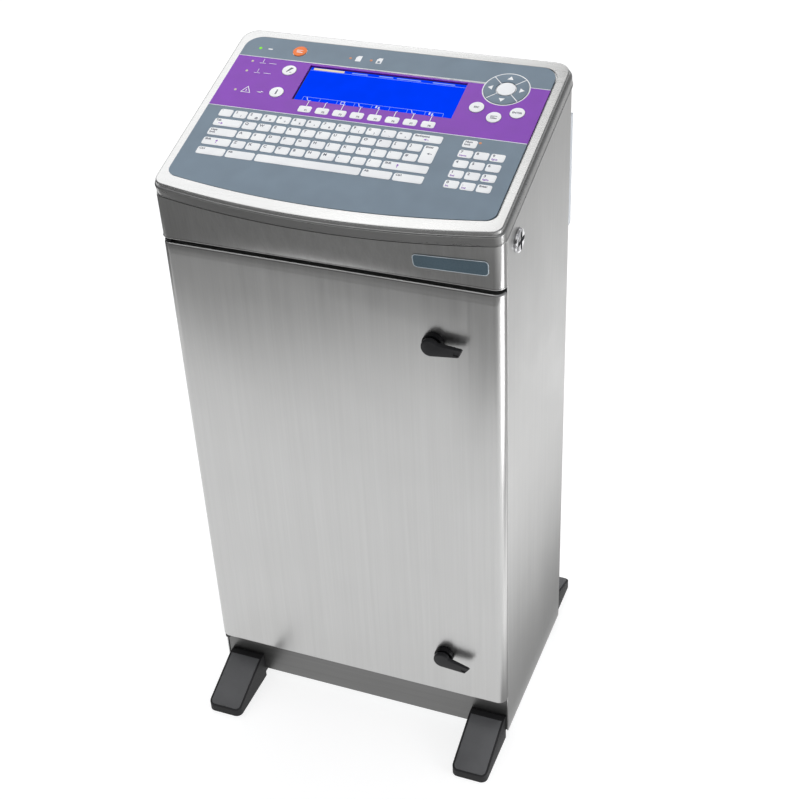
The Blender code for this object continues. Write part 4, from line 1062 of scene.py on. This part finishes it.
def pad_sector(middle_angle):
    """A quarter of the direction pad, with parallel grooves to its neighbours."""
    inner = PAD_HUB_RADIUS + PAD_GROOVE
    outer = PAD_RADIUS - 0.0001
    outer_turn = math.degrees(PAD_GROOVE / 2 / outer)
    inner_turn = math.degrees(PAD_GROOVE / 2 / inner)
    outside = arc((0, 0), outer, middle_angle - 45 + outer_turn, middle_angle + 45 - outer_turn, 18)
    inside = arc((0, 0), inner, middle_angle + 45 - inner_turn, middle_angle - 45 + inner_turn, 12)
    return outside + inside


def direction_pad():
    """Four grey quarters and a white centre over a white backing, each with its arrow."""
    slack = 0.0001
    place = CONSOLE @ Matrix.Translation((*PAD_CENTRE, 0))
    disc = circle((0, 0), PAD_RADIUS + 0.0002, 72)
    backing = [plate("pad_backing", [disc], *PAD_BACKING_OUT, place)]
    half = PAD_GROOVE / 2 - slack
    bar = rectangle(PAD_HUB_RADIUS + 0.0004, PAD_RADIUS - slack, -half, half)
    for angle in PAD_KEYS.values():
        turn = Matrix.Rotation(math.radians(angle + 45), 4, "Z")
        low, high = PAD_BACKING_OUT[1] - slack, KEY_OUT[1] - slack
        backing.append(plate("pad_bar", [bar], low, high, place @ turn))
    piece("pad_backing", joined("pad_backing", backing), "white", "console")
    top = KEY_OUT[1]
    for name, angle in PAD_KEYS.items():
        key = plate(name, [pad_sector(angle)], *KEY_OUT, place, PAD_CAP_EDGE)
        piece(name + "_cap", key, "film", name, [name])
        turn = Matrix.Rotation(math.radians(angle), 4, "Z")
        flat = plate(name + "_arrow", [PAD_ARROW], top, top + KEY_SIGN_LIFT, place @ turn)
        piece(name + "_arrow", flat, "white", name)
    disc = circle((0, 0), PAD_HUB_RADIUS - 0.0002)
    hub = plate("pad_centre", [disc], *KEY_OUT, place, PAD_CAP_EDGE)
    piece("pad_centre_cap", hub, "white", "pad_centre_key", ["pad_centre_key"])


def round_keys():
    """The six round keys that travel, with their generic legends."""
    for name, centre in ROUND_KEYS.items():
        place = CONSOLE @ Matrix.Translation((*centre, 0))
        orange = name == "power_key"
        cap = plate(name, [circle((0, 0), KEY_RADIUS)], *KEY_OUT, place, KEY_CAP_EDGE)
        piece(name + "_cap", cap, "orange" if orange else "white", name, [name])
        if name in KEY_WORDS:
            text = centred_text(name, *KEY_WORDS[name], place)
            piece(name + "_legend", text, "ink_print", name)
        else:
            signs = [strip(start, end, KEY_SIGN_LINE * share) for start, end, share in KEY_SIGNS[name]]
            sign = plate(name + "_sign", signs, KEY_OUT[1], KEY_OUT[1] + KEY_SIGN_LIFT, place)
            piece(name + "_sign", sign, "white" if orange else "ink_print", name)


def centred_text(name, words, size, place):
    """Letters centred on the place's origin, just above the face of a key."""
    text = lettering(name, words, size, Matrix.Identity(4))
    xs = [vertex.co.x for vertex in text.vertices]
    ys = [vertex.co.y for vertex in text.vertices]
    middle = (-(min(xs) + max(xs)) / 2, -(min(ys) + max(ys)) / 2, KEY_OUT[1] + LEGEND_LIFT)
    text.transform(place @ Matrix.Translation(middle))
    return text


def console():
    console_tray()
    console_skirt()
    overlay()
    band_lines()
    keyboard()
    soft_keys()
    display()
    indicator_lamps()
    white_signs()
    direction_pad()
    round_keys()
    refined("display_module", "plastic", "console")
    refined("console_board", "board", "console", 0.0001)
    refined("console_hinge_leaf", "plinth", "cabinet", 0.0003)
    refined("console_hinge_bracket", "plinth", "console", 0.0003)
    refined("console_hinge_pin", "chrome", "cabinet", 0.0003)


# ---------------------------------------------------------------- front of the cabinet


def door_outline(inset):
    """The door's plan, from its left side round the front to its right side."""
    left = (DOOR_LEFT_X + DOOR_LEFT_RADIUS, DOOR_LEFT_RADIUS - DOOR_FACE)
    right = (DOOR_X - DOOR_RIGHT_RADIUS, DOOR_RIGHT_RADIUS - DOOR_FACE)
    front = arc(left, DOOR_LEFT_RADIUS - inset, 180, 270, 10)
    return front + arc(right, DOOR_RIGHT_RADIUS - inset, 270, 360, 14)


def door():
    """A folded sheet door with rounded vertical edges, open at the back."""
    low, high = DOOR_HEIGHTS
    back = DOOR_RIGHT_RADIUS - DOOR_FACE
    turn = arc((0, 0), DOOR_FOLD, 90, 0, 6)
    levels = [(DOOR_FOLD - x, low + DOOR_FOLD - y) for x, y in turn]
    loops = []
    for inset, height in levels:
        loops.append([ORIGIN @ Vector((x, y, height)) for x, y in door_loop(inset, back)])
    for inset, height in reversed(levels):
        top = high + low - height
        loops.append([ORIGIN @ Vector((x, y, top)) for x, y in door_loop(inset, back)])
    skin = loft("door_skin", loops)
    shell = piece("door_skin", skin, "door", "door", ["door_panel"])
    behind = 0.001
    hollow = door_outline(SHEET) + [(DOOR_X - SHEET, behind), (DOOR_LEFT_X + SHEET, behind)]
    cuts = [plate("door_hollow", [hollow], low + SHEET, high - SHEET, ORIGIN)]
    for height in LATCH_HEIGHTS.values():
        place = ORIGIN @ Matrix.Translation((LATCH_X, -0.007, height)) @ UPRIGHT
        hole = BARREL_RADIUS + GAP
        cuts.append(turned("latch_hole", [(hole, 0), (hole, 0.006)], place))
    pivot = ORIGIN @ Matrix.Translation((*PIVOT, low - 0.001))
    cuts.append(turned("pivot_hole", [(0.0021, 0), (0.0021, high - low + 0.002)], pivot, 20))
    carve(shell, cuts)
    refined("door_gasket", "gasket", "door", 0.0012)


def door_loop(inset, back):
    return door_outline(inset) + [(DOOR_X - inset, back), (PIVOT[0], back)]


def fascia_rows(steps):
    """The fascia's bowed top edge and straight bottom edge, point for point."""
    back = -GAP
    top_end = (back + FASCIA_TOP_OUT * math.sin(CONSOLE_TILT)) / math.cos(CONSOLE_TILT)
    top_edge = bowed_front(SKIRT[0], SKIRT[1], DOOR_RIGHT_RADIUS, BOW, steps)
    top_edge = [(-SKIRT[0], top_end)] + top_edge + [(SKIRT[0], top_end)]
    low_edge = bowed_front(SKIRT[0], -DOOR_FACE, DOOR_RIGHT_RADIUS, 0, steps)
    low_edge = [(-SKIRT[0], back)] + low_edge + [(SKIRT[0], back)]
    top = [CONSOLE @ Vector((x, up, FASCIA_TOP_OUT)) for x, up in top_edge]
    low = [ORIGIN @ Vector((x, y, FASCIA_BOTTOM)) for x, y in low_edge]
    return top, low


def sheet_sections(top, low, thickness, bead, rows):
    """Closed cross-sections of a bent strip of sheet whose lower edge is rolled into a bead."""
    sections = []
    count = len(top)
    first, last, steps = 136, 424, 16
    turns = [math.radians(first + (last - first) * step / steps) for step in range(steps + 1)]
    for i in range(count):
        before, after = max(0, i - 1), min(count - 1, i + 1)
        along = (top[after] - top[before]).normalized() + (low[after] - low[before]).normalized()
        inward = Vector((0, 0, 1)).cross(along).normalized()
        rise = (top[i] - low[i]).normalized()
        centre = low[i] + rise * bead - inward * bead * math.cos(turns[0])
        roll = [centre + (rise * math.sin(turn) + inward * math.cos(turn)) * bead for turn in turns]
        outer = [top[i].lerp(roll[0], row / rows) for row in range(rows)]
        inner = [point + inward * thickness for point in reversed(outer)]
        sections.append([*outer, *roll, *inner])
    return sections


def fascia():
    """The bent sheet between console and door, with a rolled lower edge and a blank badge."""
    top, low = fascia_rows(40)
    sections = sheet_sections(top, low, SHEET, FASCIA_BEAD, 8)
    piece("fascia_sheet", loft("fascia_sheet", sections), "fascia", "cabinet",
          ["front_fascia"])
    rim = 0.0007
    badge_layer("badge_rim", "badge_rim", 0.0, 0.0003, 0.0009)
    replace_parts(badge_layer("badge_face", "badge", rim, 0.0006, 0.00105), "fascia_badge")


def badge_layer(name, finish, inset, low_out, high_out):
    """A rounded plate of the badge, bent to the fascia."""
    corner = 0.0042
    width = BADGE_X[1] - BADGE_X[0] - inset
    height = BADGE_HEIGHTS[1] - BADGE_HEIGHTS[0] - inset
    outline = rounded(inset, width, inset, height, corner - inset, 8)
    body = bmesh.new()
    body.from_mesh(plate(name, [outline], low_out, high_out, Matrix.Identity(4), 0.0002))
    long_edges = [edge for edge in body.edges if edge.calc_length() > 0.01]
    bmesh.ops.subdivide_edges(body, edges=long_edges, cuts=6)
    for vertex in body.verts:
        x, up, out = vertex.co
        vertex.co = fascia_point(BADGE_X[0] + x, BADGE_HEIGHTS[0] + up, out)
    return piece(name, to_mesh(name, body), finish, "cabinet")


def fascia_point(x, height, outward):
    """A point in front of the bowed part of the fascia, at a place across and a height."""
    top = CONSOLE @ Vector((x, SKIRT[1] + BOW * x**2, FASCIA_TOP_OUT))
    low = ORIGIN @ Vector((x, -DOOR_FACE, FASCIA_BOTTOM))
    share = (BASE_Z + height - low.z) / (top.z - low.z)
    return low.lerp(top, share) + Vector((0, -outward, 0))


def latches():
    """Round rosettes over a barrel through the door, each with a nut behind and a wing lever."""
    inner = DOOR_FACE - SHEET
    edge = 0.0012
    chamfer = 0.0006
    nut_end = inner - 0.0050
    for name, height in LATCH_HEIGHTS.items():
        place = ORIGIN @ Matrix.Translation((LATCH_X, 0, height)) @ UPRIGHT
        refined(f"{name}_latch_cam", "zinc", f"{name}_latch", 0.0003)
        top = DOOR_FACE + ROSETTE_OUT
        rim = arc((ROSETTE_RADIUS - edge, top - edge), edge, 0, 90, 5)
        profile = [(SPINDLE_RADIUS + GAP, DOOR_FACE + GAP), (ROSETTE_RADIUS, DOOR_FACE + GAP), *rim]
        profile += [(SPINDLE_RADIUS + 0.0030, top), (SPINDLE_RADIUS + 0.0026, top - 0.0005)]
        profile += [(SPINDLE_RADIUS + GAP, top - 0.0005)]
        housing = turned("rosette", profile, place)
        barrel = [(BARREL_RADIUS, DOOR_FACE), (BARREL_RADIUS, inner - 0.0005)]
        nut = [(LATCH_NUT_RADIUS, inner - GAP), (LATCH_NUT_RADIUS, nut_end + chamfer)]
        nut += [(LATCH_NUT_RADIUS - chamfer, nut_end)]
        parts = [housing, turned("barrel", barrel, place), turned("nut", nut, place, 6)]
        piece(f"{name}_latch_rosette", joined("rosette", parts), "rosette", "door",
              [f"{name}_latch_housing"])
        lever(name, place @ Matrix.Rotation(math.radians(LEVER_TURNS[name]), 4, "Z"))


def lever(name, place):
    """A wing lever: a round boss at the spindle drawn out to a thin blunt tip, with a wide bevel
    along its upper edge and a small pocket near its tip."""
    faces = [DOOR_FACE + reach for reach in LEVER_OUT]
    back, front = faces
    outline = lever_outline()
    rings = []
    for inset, upper_inset, face, beyond, tip_out in LEVER_RINGS:
        rings.append(lever_ring(outline, inset, upper_inset, faces[face] + beyond, tip_out, place))
    handle = piece(f"{name}_latch_lever", loft("wing", rings), "lever", f"{name}_latch",
                   [f"{name}_latch_handle"])
    pocket = rounded(*LEVER_POCKET, LEVER_POCKET_CORNER, 4)
    carve(handle, [plate("pocket", [pocket], front - LEVER_POCKET_DEPTH, front + 0.001, place)])
    top = DOOR_FACE + ROSETTE_OUT
    narrow, wide = COLLAR_RADII
    collar = [(narrow, top - 0.0002), (wide, top + 0.0004), (wide, back + 0.0010)]
    spindle = [(SPINDLE_RADIUS, -0.0060), (SPINDLE_RADIUS, back + 0.0020)]
    parts = [turned("collar", collar, place), turned("spindle", spindle, place)]
    piece(f"{name}_latch_spindle", joined("spindle", parts), "plastic", f"{name}_latch")


def lever_outline():
    """The lever's outline: most of a circle at the hub, and two small corners at the tip."""
    (low_x, low_z), (high_x, high_z) = LEVER_TIP
    low_radius, high_radius = LEVER_TIP_RADII
    low_back, high_back = LEVER_TIP_BACK
    low_corner = arc((low_x - low_back, low_z + low_radius), low_radius, 270, 340, 4)
    high_corner = arc((high_x - high_back, high_z - high_radius), high_radius, -20, 85, 5)
    return arc((0, 0), LEVER_HUB_RADIUS, 40, 278, 28) + low_corner + high_corner


def lever_ring(outline, inset, upper_inset, out, tip_out, place):
    """The outline moved in towards the lever's spine, further at its upper edge, and tilted up
    towards the tip."""
    (low_x, _), (high_x, _) = LEVER_TIP
    spine_end = low_x - 0.003
    ring = []
    for x, z in outline:
        spine = Vector((min(max(x, 0.0), spine_end), 0.0))
        away = Vector((x, z)) - spine
        upper = max(0.0, away.normalized().y)
        move = inset + (upper_inset - inset) * upper
        x, z = spine + away * (1 - move / away.length)
        ring.append(place @ Vector((x, z, out + tip_out * max(0.0, x) / high_x)))
    return ring


# ---------------------------------------------------------------- shell, feet and fittings


def feet():
    """Rubber wedges with a raised pad on the slope, rounded toes and a heel under the base."""
    for end, facing in (("front", -1), ("rear", 1)):
        for side in ("left", "right"):
            node = f"foot_{end}_{side}"
            foot(node, *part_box(node), facing)


def foot(node, low, high, facing):
    """One foot, built from its box: the toe points away from the cabinet."""
    wall = FRONT_Y + 0.0008 if facing < 0 else REAR_Y + GAP
    toe, heel_end = (low.y, high.y) if facing < 0 else (high.y, low.y)
    top = high.z
    half = (high.x - low.x) / 2
    length = abs(toe - wall)
    turn = Matrix.Translation(((low.x + high.x) / 2, wall, 0))
    if facing < 0:
        turn = turn @ Matrix.Rotation(math.pi, 4, "Z")
    # The wedge's dark rubber is painted shade on the foot's sides.
    block = piece(node + "_wedge", plate(node, [foot_plan(half, length, 0.0)], 0.0, top, turn),
                  "rubber", "cabinet", [node])
    past = 0.001
    slope = [(length + past, FOOT_TOE_HEIGHT), (length, FOOT_TOE_HEIGHT), (FOOT_RIDGE, top)]
    side = [(0, -past), (length + past, -past), *slope, (0, top)]
    profile = plate("profile", [side], -half - past, half + past, turn @ SIDEWAYS)
    carve(block, [profile], "INTERSECT")
    soften(block, 0.0016, 4, 30)

    inset, rise = 0.0022, 0.0005
    fall = math.atan2(top - FOOT_TOE_HEIGHT, length - FOOT_RIDGE)
    run = math.hypot(top - FOOT_TOE_HEIGHT, length - FOOT_RIDGE)
    lean = Matrix.Translation((0, FOOT_RIDGE, top)) @ Matrix.Rotation(-fall, 4, "X")
    # The pad's lighter rubber is painted light on the slope.
    pad = plate("pad", [foot_plan(half, run, inset)], -0.0004, rise, turn @ lean, 0.0004)
    piece(node + "_pad", pad, "foot_pad_painted_light", "cabinet")

    xs = (low.x + 0.003, high.x - 0.003)
    depths = sorted((wall - facing * 0.001, heel_end))
    heel = box_mesh("heel", xs, depths, (GAP, BASE_Z - GAP))
    soften(piece(node + "_heel", heel, "rubber", "cabinet"), 0.0006)


def foot_plan(half, length, inset):
    """A foot's outline from the wall to its rounded toe, moved in by an inset."""
    corner = FOOT_CORNER - inset
    x, y = half - inset - corner, length - inset - corner
    toe = arc((x, y), corner, 0, 90, 8) + arc((-x, y), corner, 90, 180, 8)
    return [(half - inset, inset / 2), *toe, (inset - half, inset / 2)]


def side_locks():
    """Chrome quarter-turn heads with a deep cross recess, on a shaft with a tongue inside."""
    for side, sign in (("left", -1), ("right", 1)):
        node = f"side_lock_{side}"
        low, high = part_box(node)
        reach, inner = (high.x, low.x) if sign > 0 else (-low.x, -high.x)
        outward = Matrix(((0, 0, sign, 0), (sign, 0, 0, 0), (0, 1, 0, 0), (0, 0, 0, 1)))
        place = ORIGIN @ Matrix.Translation((0, LOCK_DEPTH, LOCK_HEIGHT)) @ outward
        tongue_end = inner + LOCK_TONGUE_THICKNESS
        head = [(LOCK_SHAFT_RADIUS, tongue_end), (LOCK_SHAFT_RADIUS, reach - LOCK_RIM[0][1])]
        head += [(LOCK_RADIUS - inward, reach - back) for inward, back in LOCK_RIM]
        head.append((0.0004, reach))
        body = piece(node + "_head", turned(node, head, place), "chrome", node,
                     [node])
        long, short = LOCK_CROSS
        arms = [rounded(-long, long, -short, short, LOCK_CROSS_CORNER, 3),
                rounded(-short, short, -long, long, LOCK_CROSS_CORNER, 3)]
        recess = reach - LOCK_RECESS_DEPTH
        carve(body, [plate("arm", [arm], recess, reach + 0.001, place) for arm in arms])
        # A black plate on the recess floor: painted shade in the chrome head's cross recess.
        floor = [plate("arm", [arm], reach - 0.0025, reach - 0.0020, place) for arm in arms]
        piece(node + "_painted_recess_shade", joined("recess", floor), "dark", node)
        tongue = rounded(*LOCK_TONGUE, LOCK_TONGUE_CORNER, 4)
        bar = plate("tongue", [tongue], inner, tongue_end, place, 0.0003)
        piece(node + "_tongue", bar, "zinc", node)


def shell():
    for node in ("side_panel_left", "side_panel_right", "rear_panel"):
        refined(node, "side", "cabinet", 0.0004)
    refined("plinth", "plinth", "cabinet", 0.0004)
    for node in ("base_plate", "door_frame", "mid_shelf"):
        refined(node, "zinc", "cabinet", 0.0003)
    for node in ("door_pivot_lower", "door_pivot_upper"):
        refined(node, "plastic", "cabinet", 0.0003)


def screw_heads(name, places):
    """Pan-head screws with a hexagon socket, at (place, outward turn) matrices, as one piece."""
    radius = SCREW_RADIUS
    top = 0.0017
    profile = [(radius, 0), (radius, 0.0006), (radius * 0.92, 0.0012), (radius * 0.70, 0.0016)]
    profile.append((radius * 0.52, top))
    heads = []
    for place in places:
        heads.append(turned("screw", profile, place, 20))
        heads.append(turned("socket", [(radius * 0.5, top), (radius * 0.5, top + 0.0001)], place, 6))
    piece(name, joined(name, heads), "chrome", "cabinet")


def rear():
    """Filter cover with its louvres, cable glands and the screws that hold them."""
    refined("rear_filter_cover", "cover", "cabinet", 0.0012)
    for node in ("umbilical_gland", "power_gland", "signal_gland"):
        refined(node, "plastic", "cabinet", 0.0006)
    backward = Matrix.Rotation(-math.pi / 2, 4, "X")
    places = []
    for x in (-REAR_SCREW_X, REAR_SCREW_X):
        for height in REAR_SCREW_HEIGHTS:
            spot = Matrix.Translation((x, CABINET_DEPTH, height))
            places.append(ORIGIN @ spot @ backward)
    screw_heads("rear_screws", places)
    cover_low, cover_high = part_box("rear_filter_cover")
    corners = [
        Matrix.Translation((x, cover_high.y - 0.0006, z)) @ backward
        for x in (cover_low.x + COVER_SCREW_INSET, cover_high.x - COVER_SCREW_INSET)
        for z in (cover_low.z + COVER_SCREW_INSET, cover_high.z - COVER_SCREW_INSET)
    ]
    screw_heads("cover_screws", corners)


def inside():
    """Ink circuit and electronics behind the door."""
    refined("ink_tank", "ink_tank", "cabinet", 0.0003)
    refined("makeup_tank", "makeup_tank", "cabinet", 0.0003)
    for liquid in ("ink", "makeup"):
        tank_cap(liquid)
    refined("ink_manifold", "cream", "cabinet", 0.0012)
    refined("ink_filter", "filter", "cabinet", 0.0010)
    refined("pressure_accumulator", "zinc", "cabinet", 0.0010)
    refined("ink_pump", "case", "cabinet", 0.0010)
    refined("power_supply", "case", "cabinet", 0.0006)
    refined("main_board", "board", "cabinet", 0.0001)
    refined("fan_housing", "plastic", "cabinet", 0.0004)
    refined("fan_rotor", "plastic", "fan", 0.0002)


def tank_cap(liquid):
    """A screw cap with grip ribs round its edge."""
    node = f"{liquid}_tank_cap"
    low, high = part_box(node)
    centre = (low + high) / 2
    radius = (high.x - low.x) / 2
    place = Matrix.Translation((centre.x, centre.y, 0))
    outline = []
    for i in range(CAP_RIBS * 4):
        reach = radius - (CAP_RIB_DEPTH if i % 4 in (0, 1) else 0.0)
        angle = math.tau * i / (CAP_RIBS * 4)
        outline.append((reach * math.cos(angle), reach * math.sin(angle)))
    bore = circle((0, 0), CAP_BORE_RADIUS, 36)
    skirt = plate(node, [outline, bore], low.z, high.z - 0.0036, place)
    top = [(radius - 0.0002, high.z - 0.0037), (radius - 0.0002, high.z - 0.0012),
           (radius - 0.0014, high.z), (radius * 0.72, high.z), (radius * 0.68, high.z - 0.0006),
           (0.0005, high.z - 0.0006)]
    crown = turned(node + "_crown", top, place)
    piece(node + "_look", joined(node, [skirt, crown]), "plastic", f"{liquid}_cap",
          [node])


# ---------------------------------------------------------------- studio


def area_light(name, place, target, size, power):
    light = bpy.data.lights.new(name, "AREA")
    light.shape = "RECTANGLE"
    light.size, light.size_y = size
    light.energy = power
    obj = bpy.data.objects.new(name, light)
    obj.location = place
    obj.rotation_euler = (Vector(target) - Vector(place)).to_track_quat("-Z", "Y").to_euler()
    obj.visible_camera = False
    bpy.context.scene.collection.objects.link(obj)
    return obj


CARDS = (
    # name, plane, its place, the two ranges in it, axis of the shading, (place, brightness) twice
    ("door_flag", "Z", 0.20, (-1.2, 0.6), (-1.3, -0.46), "Y", (-0.52, 1.00), (-0.65, 0.20)),
    ("side_flag", "Z", 0.001, (0.175, 0.335), (-0.15, 0.55), "X", (0.225, 0.33), (0.335, 1.40)),
    ("side_flag_far", "Z", 0.001, (0.335, 3.0), (-0.15, 6.0), "X", (0.335, 1.58), (0.62, 0.38)),
    ("brow_flag", "Z", 0.560, (-0.30, 0.165), (-0.32, -0.115), "X", (-0.18, 0.18), (0.02, 0.23)),
    ("brow_flag_side", "Z", 0.560, (0.165, 0.40), (-0.32, -0.115), "X", (0.165, 0.25), (0.27, 0.72)),
    ("left_toe_flag", "Z", 0.0354, (-0.172, -0.117), (-0.172, -0.113), "X", (-0.17, 1.0), (0.17, 1.0)),
    ("right_toe_flag", "Z", 0.0354, (0.120, 0.175), (-0.172, -0.113), "X", (-0.17, 1.0), (0.17, 1.0)),
    ("front_flag", "Y", -1.35, (-1.6, 1.2), (0.45, 1.45), "Z", (1.45, 0.25), (1.1, 0.03)),
    ("front_high_flag", "Y", -1.35, (-1.6, 1.2), (1.45, 3.4), "Z", (1.45, 0.30), (1.8, 0.75)),
    ("roof_flag", "Z", 2.60, (-1.1, 2.0), (-0.2, 3.2), "X", (-1.1, 1.35), (-0.2, 0.25)),
    ("left_flag", "X", -0.95, (-0.9, 2.2), (0.10, 0.85), "Z", (0.85, 0.30), (0.6, 0.05)),
)
LAMPS = (
    # name, place, aim, size, power in watts
    ("overhead_box", (-0.5, 0.9, 2.8), (-0.1, 0.3, 0.3), (4.2, 3.4), 62),
    ("tray_box", (-0.42, 0.70, 2.5), (0, 0, 0.65), (0.9, 0.5), 2.2),
    ("right_box", (0.80, -0.20, 0.25), (0.17, -0.08, 0.33), (0.4, 0.5), 2.5),
)
SURROUND = ((0.94, 0.96, 1.0, 1.0), 0.35)


def reflected_card(name, plane, place, first, second, axis, near, far):
    """A card seen only in reflections, shading along an axis from near to far: it keeps light off
    polished steel without casting a shadow."""
    corners = [list(corner) for corner in rectangle(*first, *second)]
    for corner in corners:
        corner.insert("XYZ".index(plane), place)
    mesh = bpy.data.meshes.new(name)
    mesh.from_pydata(corners, [], [(0, 1, 2, 3)])
    made, tree, shader = new_material(name, (0, 0, 0), 1.0, Specular_IOR_Level=0.0)
    along = add_node(tree, "ShaderNodeSeparateXYZ", {0: place_in_piece(tree)}).outputs[axis]
    share = span(tree, along, 0.0, 1.0, near[0], far[0])
    grey = blended(tree, share, (near[1],) * 3, (far[1],) * 3)
    tree.links.new(grey, shader.inputs["Emission Color"])
    shader.inputs["Emission Strength"].default_value = 1.0
    mesh.materials.append(made)
    card = bpy.data.objects.new(name, mesh)
    for ray in ("camera", "diffuse", "transmission", "volume_scatter", "shadow"):
        setattr(card, f"visible_{ray}", False)
    bpy.context.scene.collection.objects.link(card)


def studio():
    """A pale floor, a wide soft box overhead, a low one at the right and a dim surround."""
    floor = bmesh.new()
    bmesh.ops.create_grid(floor, x_segments=2, y_segments=2, size=12)
    ground = bpy.data.objects.new("studio_floor", to_mesh("studio_floor", floor))
    ground.data.materials.append(floor_finish())
    bpy.context.scene.collection.objects.link(ground)
    for card in CARDS:
        reflected_card(*card)
    for lamp in LAMPS:
        area_light(*lamp)
    world = bpy.data.worlds.new("studio_surround")
    world.use_nodes = True
    background = world.node_tree.nodes["Background"]
    background.inputs["Color"].default_value, background.inputs["Strength"].default_value = SURROUND
    bpy.context.scene.world = world
    bpy.context.scene.view_settings.view_transform = "Standard"


def camera():
    data = bpy.data.cameras.new("camera")
    data.lens = CAMERA_LENS
    data.shift_x, data.shift_y = CAMERA_SHIFT
    obj = bpy.data.objects.new("camera", data)
    obj.location = CAMERA_PLACE
    obj.rotation_euler = [math.radians(angle) for angle in CAMERA_TURN]
    bpy.context.scene.collection.objects.link(obj)
    bpy.context.scene.camera = obj


camera()
studio()
console()
door()
fascia()
latches()
feet()
side_locks()
shell()
rear()
inside()
